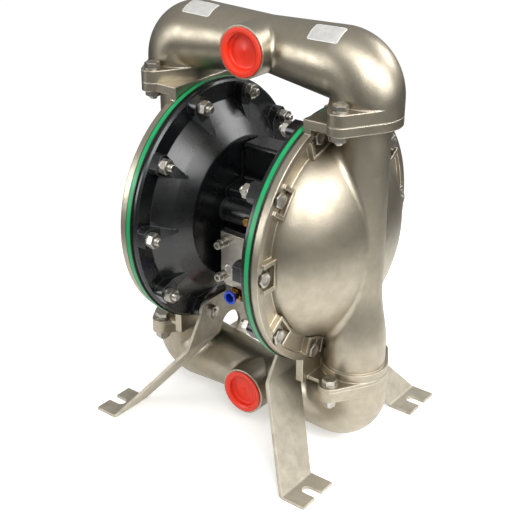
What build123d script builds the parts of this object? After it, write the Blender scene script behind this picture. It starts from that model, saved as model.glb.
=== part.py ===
from build123d import *
from math import cos, radians, sin, sqrt
import os

os.makedirs("parts", exist_ok=True)

# Air operated double diaphragm pump with 1 1/2 inch ports, cast stainless wetted parts.
# Millimetres, +Z up. The diaphragm shaft lies along X, and the ports face -Y.
# The origin is the centre of the footprint, on the floor.

# Overall layout, from the floor up
inlet_height = 46.0  # inlet port's centre
inlet_rise = 61.5  # from there to the face where the fluid caps sit on the inlet manifold
bottom_margin = 17.0  # from that face to the chamber flanges
top_margin = 4.5  # from the chamber flanges to the face that carries the outlet manifold
outlet_rise = 57.0  # from there to the outlet port's centre
pipe_stand = 43.2  # each vertical fluid pipe from its cap's joint face

# Clearances
face_gap = 0.2  # between clamped faces of a soft piece and its flanges
seat_gap = 0.3  # soft or round pieces to their seats
thread_gap = 0.1  # nut or tapped hole over a bolt's shank
hole_gap = 0.5  # clearance hole over a bolt's shank, on the radius
run_gap = 0.05  # running fit, on the radius

# M10 fasteners
bolt_radius = 5.0
hex_flats = 17.0
head_height = 6.4
nut_height = 8.0
washer_radius = 10.0
washer_thickness = 2.0

# Chamber joint: a diaphragm bead clamped between the fluid cap and the air cap
bead_offset = 90.0  # middle of the bead from the pump's middle
bead_thickness = 8.0
flange_radius = 158.0
bead_proud = 2.0  # how far the bead stands out of the flanges
bolt_margin = 12.0  # bolt circle inside the flange's edge
clamp_width = 31.0
chamber_bolts = 10
chamber_bolt_length = 50.0
chamber_washer_radius = 9.0
spot_face_radius = 10.3

# Fluid cap casting
cap_wall = 6.0
cap_flange_thickness = 4.8
cap_lip_height = 5.0
cap_lip_width = 9.0
dome_margin = 29.0  # flat flange round the dome
dome_depth = 71.4
rib_offset = 16.0
rib_width = 5.0
rib_length = 22.0
rib_height = 8.0
pipe_radius = 29.4
pipe_bore = 24.0
pipe_blend = 9.0  # fillet between the dome and the pipe
cage_radius = 38.0  # outside of the inlet ball cage at the pipe's foot
cage_bore = 31.0
cage_height = 50.0
cage_neck = 40.0  # where the outside starts to narrow
cage_taper = 68.0
foot_ring_radius = 42.0
foot_ring_height = 14.5

# Two-bolt joints between the caps and the manifolds
joint_radius = 42.5  # also the elbows' outside
ear_reach = 12.6  # bolts outside the joint's round part
ear_radius = 14.0
cap_top_plate = 11.0
cap_bottom_plate = 4.5
outlet_ear = 15.0
inlet_ear = 14.0
top_plate_half = 62.0
bottom_plate_half = 66.0
web_thickness = 10.0
web_rise = 34.0
web_drop = 24.0
outlet_bolt_length = 40.0
inlet_bolt_length = 35.0

# Manifold castings
tube_radius = 33.0
tube_bore = 26.0
elbow_bore = 31.0
outlet_turn = 33.0  # bend radii of the elbows' middle lines
inlet_turn = 26.0
port_radius = 31.6
port_reach = 53.6  # port face from the manifold's axis
port_blend = 5.0
thread_bore = 22.4  # minor diameter of a G 1 1/2 thread, as a radius
tube_slope = 6.0  # how far the tube's centre falls or rises towards each elbow
port_chamfer = 1.5

# Check valves
ball_radius = 25.0
ball_lift = 10.0
seat_radius = 34.0
seat_height = 10.0
seat_stand = 3.0  # how far the seat stands over the joint face
seat_bore = 15.5
seat_cone_radius = 22.0
ring_section = 1.5
ring_radius = 38.0
stop_width = 6.0
stop_length = 26.0
stop_gap = 0.7

# Air cap casting
air_wall = 6.0
air_wall_slant = 8.0  # wall of the cone, measured along the shaft
air_hub_inset = 3.0
air_flange_thickness = 6.8
air_flange_width = 25.0
air_cone_width = 20.0  # the outer, steeper part of the cone
air_cone_height = 19.0
air_shoulder_width = 21.0  # the inner, flatter part
air_shoulder_height = 16.0
air_edge_blend = 6.0
boss_height = 18.8  # bolt bosses over the joint face
boss_radius = 13.0
boss_margin = 2.2  # bosses inside the flange's edge
boss_flat = 18.0  # from the bolt to where the boss starts to slope
boss_slope_width = 22.0
boss_slope_height = 12.0
boss_tip_radius = 2.0
air_edge_chamfer = 2.5
gasket_sheet = 0.8
gasket_trim = 12.0

# Diaphragm assembly
rod_radius = 11.0
web_sheet = 5.0
plate_radius = 62.0
inner_plate_thickness = 7.8
outer_plate_thickness = 8.0
rod_bolt_radius = 8.0
rod_bolt_grip = 42.0
rod_tap_depth = 24.0
rod_bolt_flats = 24.0
rod_bolt_head = 10.0
plate_margin = 8.0  # from the plates' edge to the flexing roll
roll_margin = 9.0  # from the roll to the clamped bead
roll_rise = 11.0
plate_edge = 2.5

# Centre body, with its heights and those of what it carries measured from the shaft
body_corner = 5.0
body_front = 30.0
body_back = 42.0
body_drop = 104.5
shoulder_rise = 35.5
crest_height = 51.0  # the narrow part over the shoulder
body_top_front = 2.0
nose_half = 30.0
nose_front = 50.0
nose_drop = 8.5  # nose's top below the shaft
spigot_radius = 20.0
bush_wall = 2.0
bush_inner = 16.0
seal_length = 5.0

# Main air valve
valve_y = -30.0
valve_rise = 7.5
valve_radius = 18.0
valve_cap_thickness = 7.0
valve_cap_radius = 16.0
spool_radius = 10.0
spool_half = 27.0
spool_waist = 6.5
spool_land = 8.0
valve_cap_spigot = 2.0
cover_margin = 1.0  # cover past the nose's sides
cover_drop = 83.0  # its lower edge below the shaft
cover_length = 72.5
cover_thickness = 7.5
cover_corner = 8.0
cover_edge = 1.5
gasket_thickness = 0.5
cover_screw_side = 7.5  # screws from the cover's edges
cover_screw_foot = 15.5
cover_screw_head = 12.5
cover_screw_radius = 3.0
cover_boss_radius = 6.0
cover_boss_height = 10.0
cover_head_radius = 5.0
cover_head_height = 6.0
cover_socket = 5.0
cover_screw_length = 30.0

# Pilot rod
pilot_y = 26.0
pilot_drop = 36.5
pilot_radius = 5.0
pilot_stand = 12.0  # rod's ends past the air caps' inner faces
pilot_bush_radius = 8.0
pilot_bush = 12.0

# Air inlet fitting, plug and silencer
inlet_x = -9.0
inlet_drop = 93.5
inlet_thread_radius = 8.0
inlet_thread_length = 12.0
inlet_bore_depth = 14.0
fitting_flats = 17.0
fitting_hex = 8.0
fitting_body_radius = 8.4
fitting_body = 6.0
tube_hole_radius = 6.05
tube_hole_depth = 18.0
collar_clearance = 0.15
air_bore = 4.5
collar_radius = 9.0
collar_face = 2.2
collar_sleeve_radius = 7.2
collar_sleeve = 6.0
collar_travel = 1.5
plug_x = 4.0
plug_flats = 10.0
plug_head = 4.0
plug_thread_radius = 4.0
plug_thread = 5.5
plug_spot = 1.5
plug_spot_radius = 7.0
exhaust_drop = 70.5
exhaust_radius = 12.0
exhaust_thread = 12.0
silencer_radius = 28.0
silencer_length = 84.0
silencer_neck = 8.0
silencer_end = 10.0
silencer_slots = 12
silencer_slot_width = 3.0
silencer_slot_depth = 3.0

# Air cap screws and gaskets
cap_screw_foot = 30.0  # lower screws over the body's bottom
cap_screw_low_front = -18.0
cap_screw_head_margin = 24.0  # upper screws under the body's top
cap_screw_high_front = 13.0
cap_screw_back = 30.0
cap_screw_radius = 4.0
cap_screw_head = 7.0
cap_screw_head_height = 5.0
cap_screw_length = 22.0
cap_screw_socket = 6.0

# Transport plugs in the ports
port_plug_margin = 2.6  # plug's flange inside the port's rim
port_plug_flange = 2.0
port_plug_depth = 15.0
port_plug_wall = 1.6
port_plug_gap = 0.3

# Feet, bent from 4 mm plate
plate = 4.0
bend_height = 101.0
foot_in = 139.0
foot_out = 171.8
foot_bend = 7.0
foot_edge = 14.6  # upright's edges outside its bolts
foot_corner = 12.0
leg_out_top = 87.0
leg_in_top = 22.0
slot_y = 124.6
pad_half = 30.2  # each pad's edges from its slot's middle
slot_width = 14.0
slot_end = 149.5
arch_height = 123.0
arch_side = 20.0
arch_side_height = 106.0

# Sizes that follow from the ones above
bottom_joint = inlet_height + inlet_rise
axis_height = bottom_joint + bottom_margin + flange_radius
top_joint = axis_height + flange_radius + top_margin
outlet_height = top_joint + outlet_rise
cap_face = bead_offset + bead_thickness / 2 + face_gap
pipe_offset = cap_face + pipe_stand
air_face = bead_offset - bead_thickness / 2 - face_gap
bead_radius = flange_radius + bead_proud
clamp_inner_radius = flange_radius - clamp_width
chamber_bolt_circle = flange_radius - bolt_margin
dome_radius = flange_radius - dome_margin
floor_face = cap_face + cap_flange_thickness
head_seat = floor_face + washer_thickness
bolt_hole = bolt_radius + hole_gap
nut_hole = bolt_radius + thread_gap
ball_rise = seat_stand - seat_cone_radius + sqrt(2) * (ball_radius + seat_gap)
ball_top = ball_rise + ball_radius + ball_lift
ear_bolt_offset = joint_radius + ear_reach
outlet_elbow_start = pipe_offset - outlet_turn
outlet_bend = outlet_height - tube_slope - outlet_turn
inlet_elbow_start = pipe_offset - inlet_turn
inlet_bend = inlet_height + tube_slope + inlet_turn
air_flange_face = air_face - air_flange_thickness
air_mid_plane = air_flange_face - air_cone_height
air_plateau = air_mid_plane - air_shoulder_height
air_cone_radius = flange_radius - air_flange_width
air_mid_radius = air_cone_radius - air_cone_width
air_plateau_radius = air_mid_radius - air_shoulder_width
air_hub_face = air_plateau + air_wall
boss_face = air_face - boss_height
boss_slope = chamber_bolt_circle - boss_flat
boss_tip = boss_slope - boss_slope_width
body_half = air_plateau - gasket_sheet
body_bottom = axis_height - body_drop
body_shoulder = axis_height + shoulder_rise
body_top = body_shoulder + crest_height
nose_top = axis_height - nose_drop
valve_z = axis_height + valve_rise
valve_half = body_half - face_gap - valve_cap_thickness
pilot_z = axis_height - pilot_drop
pilot_half = air_plateau + pilot_stand
inlet_z = axis_height - inlet_drop
exhaust_z = axis_height - exhaust_drop
bush_outer = body_half - seal_length - face_gap
cover_half = nose_half + cover_margin
cover_bottom = axis_height - cover_drop
cover_top = cover_bottom + cover_length
cover_screw_x = cover_half - cover_screw_side
cover_screw_low = cover_bottom + cover_screw_foot
cover_screw_high = cover_top - cover_screw_head
cap_screw_low = body_bottom + cap_screw_foot
cap_screw_high = body_top - cap_screw_head_margin
valve_front = nose_front + gasket_thickness + cover_thickness
cover_seat = valve_front + cover_boss_height
fitting_end = nose_front + fitting_hex + fitting_body
collar_back = fitting_end + collar_travel + seat_gap
bush_radius = rod_radius + bush_wall
cap_tap_depth = cap_screw_length - air_wall - gasket_sheet + hole_gap
rod_half_length = bead_offset - web_sheet / 2 - face_gap - inner_plate_thickness
roll_inner = plate_radius + plate_margin
roll_outer = clamp_inner_radius - roll_margin
rod_bolt_seat = bead_offset + web_sheet / 2 + face_gap + outer_plate_thickness
rib_centre = flange_radius - cap_lip_width - rib_length / 2
foot_bolt_y = chamber_bolt_circle * sin(radians(18))
foot_bolt_z = axis_height - chamber_bolt_circle * cos(radians(18))
foot_top = foot_bolt_z + foot_edge
foot_top_half = foot_bolt_y + foot_edge
foot_out_half = slot_y + pad_half
foot_in_half = slot_y - pad_half
port_plug_radius = port_radius - port_plug_margin
foot_face = boss_face - plate
leg_mid = boss_face - plate / 2

# Planes and axes that several pieces share
shaft_axis = Axis((0, 0, axis_height), (1, 0, 0))
shaft_plane = Plane(origin=(0, 0, axis_height), x_dir=(1, 0, 0), z_dir=(0, -1, 0))
pipe_axis = Axis((pipe_offset, 0, 0), (0, 0, 1))
pipe_plane = Plane(origin=(pipe_offset, 0, 0), x_dir=(1, 0, 0), z_dir=(0, -1, 0))


def across(x, z=axis_height):
    """Plane square to X, with its origin at a given X and height."""
    return Plane(origin=(x, 0, z), x_dir=(0, 1, 0), z_dir=(1, 0, 0))


def facing(y):
    """Plane square to Y that looks to the front, with Y measured towards the front."""
    return Plane(origin=(0, -y, 0), x_dir=(1, 0, 0), z_dir=(0, -1, 0))


# Water core of the right fluid cap: the chamber, the pipe and the inlet ball cage,
# less the bar that stops the inlet ball.
with BuildPart() as cap_core:
    with BuildSketch(shaft_plane):
        with Locations((bead_offset, 0)):
            Ellipse(dome_depth - cap_wall, dome_radius - cap_wall)
        with Locations((cap_face, 0)):
            Rectangle(dome_depth, dome_radius, align=(Align.MIN, Align.MIN), mode=Mode.INTERSECT)
    revolve(axis=shaft_axis)
    with BuildSketch(pipe_plane):
        with BuildLine():
            Polyline(
                (0, bottom_joint),
                (cage_bore, bottom_joint),
                (cage_bore, bottom_joint + cage_height),
                (pipe_bore, bottom_joint + cage_height + cage_taper / 2),
                (pipe_bore, top_joint),
                (0, top_joint),
                close=True,
            )
        make_face()
    revolve(axis=pipe_axis)
    with BuildSketch(Plane.XY.offset(bottom_joint + ball_top + stop_gap)):
        with Locations((pipe_offset, 0)):
            Rectangle(stop_width, 2 * cage_bore)
    extrude(amount=stop_width, mode=Mode.SUBTRACT)

# Right fluid cap, one casting: flange with a bolt channel, dome, vertical pipe,
# ball cage and the two plates that carry the manifold joints.
with BuildPart() as right_fluid_cap:
    with BuildSketch(shaft_plane):
        with Locations((bead_offset, 0)):
            Ellipse(dome_depth, dome_radius)
        with Locations((cap_face, 0)):
            Rectangle(dome_depth, dome_radius, align=(Align.MIN, Align.MIN), mode=Mode.INTERSECT)
    revolve(axis=shaft_axis)
    with BuildSketch(pipe_plane):
        with BuildLine():
            foot_line = Polyline(
                (pipe_radius, top_joint),
                (0, top_joint),
                (0, bottom_joint),
                (cage_radius, bottom_joint),
                (cage_radius, bottom_joint + cage_neck),
            )
            neck = Spline(
                foot_line @ 1,
                (pipe_radius, bottom_joint + cage_height + cage_taper),
                tangents=((0, 1), (0, 1)),
            )
            Line(neck @ 1, foot_line @ 0)
        make_face()
    revolve(axis=pipe_axis)
    fillet(edges().filter_by(GeomType.BSPLINE).sort_by(SortBy.LENGTH)[-3:], pipe_blend)
    with BuildSketch(across(cap_face)):
        Circle(flange_radius)
    extrude(amount=cap_flange_thickness)
    with BuildSketch(across(floor_face)):
        Circle(flange_radius)
        Circle(flange_radius - cap_lip_width, mode=Mode.SUBTRACT)
    extrude(amount=cap_lip_height)
    with BuildSketch(across(floor_face)):
        with PolarLocations(0, chamber_bolts):
            with Locations((rib_centre, rib_offset), (rib_centre, -rib_offset)):
                Rectangle(rib_length, rib_width)
    extrude(amount=rib_height)
    # the plates that the manifolds bolt to
    with BuildSketch(Plane.XY.offset(top_joint)):
        with Locations((pipe_offset, 0)):
            Circle(joint_radius)
        with Locations((pipe_offset, ear_bolt_offset), (pipe_offset, -ear_bolt_offset)):
            Circle(ear_radius)
        make_hull()
        with Locations((cap_face, 0)):
            Rectangle(pipe_stand, 2 * top_plate_half, align=(Align.MIN, Align.CENTER))
    extrude(amount=-cap_top_plate)
    with BuildSketch(Plane.XY.offset(bottom_joint)):
        with Locations((pipe_offset, 0)):
            Circle(joint_radius)
        with Locations((pipe_offset, ear_bolt_offset), (pipe_offset, -ear_bolt_offset)):
            Circle(ear_radius)
        make_hull()
        with Locations((cap_face, 0)):
            Rectangle(pipe_stand, 2 * ear_bolt_offset, align=(Align.MIN, Align.CENTER))
    extrude(amount=cap_bottom_plate)
    with BuildSketch(Plane.XY.offset(bottom_joint)):
        with Locations((pipe_offset, 0)):
            Circle(foot_ring_radius)
    extrude(amount=foot_ring_height)
    # the webs that join those plates to the flange
    with BuildSketch(across(cap_face, 0)):
        with Locations((0, top_joint)):
            Rectangle(2 * top_plate_half, web_drop, align=(Align.CENTER, Align.MAX))
        with Locations((0, bottom_joint)):
            Rectangle(2 * bottom_plate_half, web_rise, align=(Align.CENTER, Align.MIN))
        with Locations((0, axis_height)):
            Circle(flange_radius - cap_lip_width, mode=Mode.SUBTRACT)
    extrude(amount=web_thickness)
    add(cap_core.part, mode=Mode.SUBTRACT)
    # bolt holes, and the spot faces that the bolt heads sit in
    with BuildSketch(across(cap_face)):
        with PolarLocations(chamber_bolt_circle, chamber_bolts):
            Circle(bolt_hole)
    extrude(amount=cap_flange_thickness, mode=Mode.SUBTRACT)
    with BuildSketch(across(floor_face)):
        with PolarLocations(chamber_bolt_circle, chamber_bolts):
            Circle(spot_face_radius)
    extrude(amount=rib_height, mode=Mode.SUBTRACT)
    with BuildSketch(Plane.XY.offset(bottom_joint)):
        with Locations((pipe_offset, ear_bolt_offset), (pipe_offset, -ear_bolt_offset)):
            Circle(bolt_hole)
    extrude(amount=cap_bottom_plate, mode=Mode.SUBTRACT)
    with BuildSketch(Plane.XY.offset(top_joint)):
        with Locations((pipe_offset, ear_bolt_offset), (pipe_offset, -ear_bolt_offset)):
            Circle(bolt_hole)
    extrude(amount=-cap_top_plate, mode=Mode.SUBTRACT)
    # pockets of the ball seats, and the groove of the upper seal ring
    with BuildSketch(Plane.XY.offset(bottom_joint)):
        with Locations((pipe_offset, 0)):
            Circle(seat_radius + seat_gap)
    extrude(amount=seat_stand + face_gap, mode=Mode.SUBTRACT)
    with BuildSketch(Plane.XY.offset(top_joint)):
        with Locations((pipe_offset, 0)):
            Circle(seat_radius + seat_gap)
    extrude(amount=-(seat_height - seat_stand) - face_gap, mode=Mode.SUBTRACT)
    with BuildSketch(Plane.XY.offset(top_joint)):
        with Locations((pipe_offset, 0)):
            Circle(ring_radius + ring_section + seat_gap)
            Circle(ring_radius - ring_section - seat_gap, mode=Mode.SUBTRACT)
    extrude(amount=-2 * ring_section - seat_gap, mode=Mode.SUBTRACT)
right_fluid_cap.part.label = "right_fluid_cap"
export_step(right_fluid_cap.part, "parts/right_fluid_cap.step")

with BuildPart() as left_fluid_cap:
    mirror(right_fluid_cap.part, about=Plane.YZ)
left_fluid_cap.part.label = "left_fluid_cap"
export_step(left_fluid_cap.part, "parts/left_fluid_cap.step")

# Water core of the outlet manifold, less the fins that stop the outlet balls
with BuildPart() as outlet_core:
    with BuildSketch(across(0, outlet_height)):
        Circle(tube_bore)
    with BuildSketch(across(outlet_elbow_start, outlet_height - tube_slope)):
        Circle(elbow_bore)
    loft()
    with BuildSketch(across(outlet_elbow_start, outlet_height - tube_slope)):
        Circle(elbow_bore)
    revolve(axis=Axis((outlet_elbow_start, 0, outlet_bend), (0, 1, 0)), revolution_arc=90)
    with BuildSketch(Plane.XY.offset(top_joint)):
        with Locations((pipe_offset, 0)):
            Circle(elbow_bore)
    extrude(amount=outlet_bend - top_joint)
    with BuildSketch(Plane.XY.offset(top_joint + ball_top + stop_gap)):
        with Locations((pipe_offset, 0)):
            Rectangle(stop_length, stop_width)
    extrude(amount=elbow_bore, mode=Mode.SUBTRACT)
    mirror(about=Plane.YZ)
    with BuildSketch(facing(port_reach)):
        with Locations((0, outlet_height)):
            Circle(thread_bore)
    extrude(amount=-port_reach)
    with BuildSketch(facing(port_reach)):
        with Locations((0, outlet_height)):
            Circle(thread_bore + port_chamfer)
    with BuildSketch(facing(port_reach - port_chamfer)):
        with Locations((0, outlet_height)):
            Circle(thread_bore)
    loft()

# Outlet manifold, one casting: cross tube with the outlet port and an elbow at each end
with BuildPart() as outlet_manifold:
    with BuildSketch(across(0, outlet_height)):
        Circle(tube_radius)
    with BuildSketch(across(outlet_elbow_start, outlet_height - tube_slope)):
        Circle(joint_radius)
    loft()
    with BuildSketch(across(outlet_elbow_start, outlet_height - tube_slope)):
        Circle(joint_radius)
        with Locations((0, -outlet_turn)):
            Rectangle(2 * joint_radius, joint_radius, align=(Align.CENTER, Align.MAX), mode=Mode.SUBTRACT)
    revolve(axis=Axis((outlet_elbow_start, 0, outlet_bend), (0, 1, 0)), revolution_arc=90)
    with BuildSketch(Plane.XY.offset(top_joint)):
        with Locations((pipe_offset, 0)):
            Circle(joint_radius)
    extrude(amount=outlet_bend - top_joint)
    with BuildSketch(Plane.XY.offset(top_joint)):
        with Locations((pipe_offset, 0)):
            Circle(joint_radius)
        with Locations((pipe_offset, ear_bolt_offset), (pipe_offset, -ear_bolt_offset)):
            Circle(ear_radius)
        make_hull()
    extrude(amount=outlet_ear)
    mirror(about=Plane.YZ)
    with BuildSketch(facing(port_reach)):
        with Locations((0, outlet_height)):
            Circle(port_radius)
    extrude(amount=-port_reach)
    port_seam = edges().filter_by(GeomType.BSPLINE).filter_by_position(Axis.X, -port_radius, port_radius)
    fillet(port_seam, port_blend)
    add(outlet_core.part, mode=Mode.SUBTRACT)
    with BuildSketch(Plane.XY.offset(top_joint)):
        with GridLocations(2 * pipe_offset, 2 * ear_bolt_offset, 2, 2):
            Circle(bolt_hole)
    extrude(amount=outlet_ear, mode=Mode.SUBTRACT)
    with BuildSketch(Plane.XY.offset(top_joint)):
        with Locations((pipe_offset, 0), (-pipe_offset, 0)):
            Circle(seat_radius + seat_gap)
    extrude(amount=seat_stand + face_gap, mode=Mode.SUBTRACT)
outlet_manifold.part.label = "outlet_manifold"
export_step(outlet_manifold.part, "parts/outlet_manifold.step")

# Water core of the inlet manifold
with BuildPart() as inlet_core:
    with BuildSketch(across(0, inlet_height)):
        Circle(tube_bore)
    with BuildSketch(across(inlet_elbow_start, inlet_height + tube_slope)):
        Circle(elbow_bore)
    loft()
    with BuildSketch(across(inlet_elbow_start, inlet_height + tube_slope)):
        Circle(elbow_bore)
        with Locations((0, inlet_turn)):
            Rectangle(2 * elbow_bore, elbow_bore, align=(Align.CENTER, Align.MIN), mode=Mode.SUBTRACT)
    revolve(axis=Axis((inlet_elbow_start, 0, inlet_bend), (0, -1, 0)), revolution_arc=90)
    with BuildSketch(Plane.XY.offset(inlet_bend)):
        with Locations((pipe_offset, 0)):
            Circle(elbow_bore)
    extrude(amount=bottom_joint - inlet_bend)
    mirror(about=Plane.YZ)
    with BuildSketch(facing(port_reach)):
        with Locations((0, inlet_height)):
            Circle(thread_bore)
    extrude(amount=-port_reach)
    with BuildSketch(facing(port_reach)):
        with Locations((0, inlet_height)):
            Circle(thread_bore + port_chamfer)
    with BuildSketch(facing(port_reach - port_chamfer)):
        with Locations((0, inlet_height)):
            Circle(thread_bore)
    loft()

# Inlet manifold, one casting: cross tube with the inlet port and an elbow at each end
with BuildPart() as inlet_manifold:
    with BuildSketch(across(0, inlet_height)):
        Circle(tube_radius)
    with BuildSketch(across(inlet_elbow_start, inlet_height + tube_slope)):
        Circle(joint_radius)
    loft()
    with BuildSketch(across(inlet_elbow_start, inlet_height + tube_slope)):
        Circle(joint_radius)
        with Locations((0, inlet_turn)):
            Rectangle(2 * joint_radius, joint_radius, align=(Align.CENTER, Align.MIN), mode=Mode.SUBTRACT)
    revolve(axis=Axis((inlet_elbow_start, 0, inlet_bend), (0, -1, 0)), revolution_arc=90)
    with BuildSketch(Plane.XY.offset(inlet_bend)):
        with Locations((pipe_offset, 0)):
            Circle(joint_radius)
    extrude(amount=bottom_joint - inlet_bend)
    with BuildSketch(Plane.XY.offset(bottom_joint)):
        with Locations((pipe_offset, 0)):
            Circle(joint_radius)
        with Locations((pipe_offset, ear_bolt_offset), (pipe_offset, -ear_bolt_offset)):
            Circle(ear_radius)
        make_hull()
    extrude(amount=-inlet_ear)
    mirror(about=Plane.YZ)
    with BuildSketch(facing(port_reach)):
        with Locations((0, inlet_height)):
            Circle(port_radius)
    extrude(amount=-port_reach)
    port_seam = edges().filter_by(GeomType.BSPLINE).filter_by_position(Axis.X, -port_radius, port_radius)
    fillet(port_seam, port_blend)
    add(inlet_core.part, mode=Mode.SUBTRACT)
    with BuildSketch(Plane.XY.offset(bottom_joint)):
        with GridLocations(2 * pipe_offset, 2 * ear_bolt_offset, 2, 2):
            Circle(bolt_hole)
    extrude(amount=-inlet_ear, mode=Mode.SUBTRACT)
    with BuildSketch(Plane.XY.offset(bottom_joint)):
        with Locations((pipe_offset, 0), (-pipe_offset, 0)):
            Circle(seat_radius + seat_gap)
    extrude(amount=-(seat_height - seat_stand) - face_gap, mode=Mode.SUBTRACT)
    with BuildSketch(Plane.XY.offset(bottom_joint)):
        with Locations((pipe_offset, 0), (-pipe_offset, 0)):
            Circle(ring_radius + ring_section + seat_gap)
            Circle(ring_radius - ring_section - seat_gap, mode=Mode.SUBTRACT)
    extrude(amount=-2 * ring_section - seat_gap, mode=Mode.SUBTRACT)
inlet_manifold.part.label = "inlet_manifold"
export_step(inlet_manifold.part, "parts/inlet_manifold.step")

# Ball seats, one at each end of each fluid pipe, clamped in the joints
with BuildPart() as right_outlet_seat:
    with BuildSketch(pipe_plane):
        with BuildLine():
            Polyline(
                (seat_bore, top_joint + seat_stand - seat_height),
                (seat_radius, top_joint + seat_stand - seat_height),
                (seat_radius, top_joint + seat_stand),
                (seat_cone_radius, top_joint + seat_stand),
                (seat_bore, top_joint + seat_stand - seat_cone_radius + seat_bore),
                close=True,
            )
        make_face()
    revolve(axis=pipe_axis)
right_outlet_seat.part.label = "right_outlet_seat"
export_step(right_outlet_seat.part, "parts/right_outlet_seat.step")

with BuildPart() as left_outlet_seat:
    mirror(right_outlet_seat.part, about=Plane.YZ)
left_outlet_seat.part.label = "left_outlet_seat"
export_step(left_outlet_seat.part, "parts/left_outlet_seat.step")

with BuildPart() as right_inlet_seat:
    add(right_outlet_seat.part.moved(Location((0, 0, bottom_joint - top_joint))))
right_inlet_seat.part.label = "right_inlet_seat"
export_step(right_inlet_seat.part, "parts/right_inlet_seat.step")

with BuildPart() as left_inlet_seat:
    mirror(right_inlet_seat.part, about=Plane.YZ)
left_inlet_seat.part.label = "left_inlet_seat"
export_step(left_inlet_seat.part, "parts/left_inlet_seat.step")

# Seal rings in the grooves of the four joints
with BuildPart() as joint_rings:
    with Locations(
        (pipe_offset, 0, top_joint - ring_section - seat_gap / 2),
        (-pipe_offset, 0, top_joint - ring_section - seat_gap / 2),
        (pipe_offset, 0, bottom_joint - ring_section - seat_gap / 2),
        (-pipe_offset, 0, bottom_joint - ring_section - seat_gap / 2),
    ):
        Torus(ring_radius, ring_section)
joint_rings.part.label = "joint_rings"
export_step(joint_rings.part, "parts/joint_rings.step")

# Check balls, resting on their seats
with BuildPart() as right_outlet_ball:
    with Locations((pipe_offset, 0, top_joint + ball_rise)):
        Sphere(ball_radius)
right_outlet_ball.part.label = "right_outlet_ball"
export_step(right_outlet_ball.part, "parts/right_outlet_ball.step")

with BuildPart() as left_outlet_ball:
    with Locations((-pipe_offset, 0, top_joint + ball_rise)):
        Sphere(ball_radius)
left_outlet_ball.part.label = "left_outlet_ball"
export_step(left_outlet_ball.part, "parts/left_outlet_ball.step")

with BuildPart() as right_inlet_ball:
    with Locations((pipe_offset, 0, bottom_joint + ball_rise)):
        Sphere(ball_radius)
right_inlet_ball.part.label = "right_inlet_ball"
export_step(right_inlet_ball.part, "parts/right_inlet_ball.step")

with BuildPart() as left_inlet_ball:
    with Locations((-pipe_offset, 0, bottom_joint + ball_rise)):
        Sphere(ball_radius)
left_inlet_ball.part.label = "left_inlet_ball"
export_step(left_inlet_ball.part, "parts/left_inlet_ball.step")

# Bolt bosses of the right air cap: each is round at its bolt and slopes to a tip on the cone
with BuildSketch() as boss_outline:
    with Locations((chamber_bolt_circle, 0)):
        Circle(boss_radius)
    with Locations((boss_tip + boss_tip_radius, 0)):
        Circle(boss_tip_radius)
    make_hull()

with BuildPart() as boss_ring:
    with BuildSketch(across(boss_face - boss_slope_height)):
        with PolarLocations(0, chamber_bolts):
            add(boss_outline.sketch)
    extrude(amount=air_face - boss_face + boss_slope_height)
    with BuildSketch(shaft_plane):
        with BuildLine():
            Polyline(
                (air_face, 0),
                (boss_face - boss_slope_height, 0),
                (boss_face - boss_slope_height, boss_tip),
                (boss_face, boss_slope),
                (boss_face, flange_radius - boss_margin),
                (air_face, flange_radius - boss_margin),
                close=True,
            )
        make_face()
    revolve(axis=shaft_axis, mode=Mode.INTERSECT)

# Right air cap: flange with a boss behind each bolt, a cone and a flat hub
with BuildPart() as right_air_cap:
    with BuildSketch(shaft_plane):
        with BuildLine():
            Polyline(
                (air_face, 0),
                (air_plateau, 0),
                (air_plateau, air_plateau_radius),
                (air_mid_plane, air_mid_radius),
                (air_flange_face, air_cone_radius),
                (air_flange_face, flange_radius),
                (air_face, flange_radius),
                close=True,
            )
        make_face()
        hub_corner = vertices().sort_by(Axis.X)[0:2].sort_by(Axis.Y)[-1]
        fillet(hub_corner, air_edge_blend)
        rim_corner = vertices().sort_by(Axis.Y)[-2:].sort_by(Axis.X)[0]
        chamfer(rim_corner, air_edge_chamfer)
    revolve(axis=shaft_axis)
    add(boss_ring.part)
    with BuildSketch(shaft_plane):
        with BuildLine():
            Polyline(
                (air_hub_face, 0),
                (air_hub_face, air_plateau_radius - air_hub_inset),
                (air_mid_plane + air_wall_slant, air_mid_radius),
                (air_face, clamp_inner_radius),
                (air_face, 0),
                close=True,
            )
        make_face()
    revolve(axis=shaft_axis, mode=Mode.SUBTRACT)
    with BuildSketch(across(boss_face)):
        with PolarLocations(chamber_bolt_circle, chamber_bolts):
            Circle(bolt_hole)
    extrude(amount=air_face - boss_face, mode=Mode.SUBTRACT)
    with BuildSketch(across(air_plateau)):
        Circle(spigot_radius + seat_gap)
    extrude(amount=air_wall, mode=Mode.SUBTRACT)
    with BuildSketch(across(air_plateau, 0)):
        with Locations((pilot_y, pilot_z)):
            Circle(pilot_radius + hole_gap)
        with Locations(
            (cap_screw_low_front, cap_screw_low),
            (cap_screw_back, cap_screw_low),
            (cap_screw_high_front, cap_screw_high),
            (cap_screw_back, cap_screw_high),
        ):
            Circle(cap_screw_radius + hole_gap)
    extrude(amount=air_wall, mode=Mode.SUBTRACT)
right_air_cap.part.label = "right_air_cap"
export_step(right_air_cap.part, "parts/right_air_cap.step")

with BuildPart() as left_air_cap:
    mirror(right_air_cap.part, about=Plane.YZ)
left_air_cap.part.label = "left_air_cap"
export_step(left_air_cap.part, "parts/left_air_cap.step")

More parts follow.
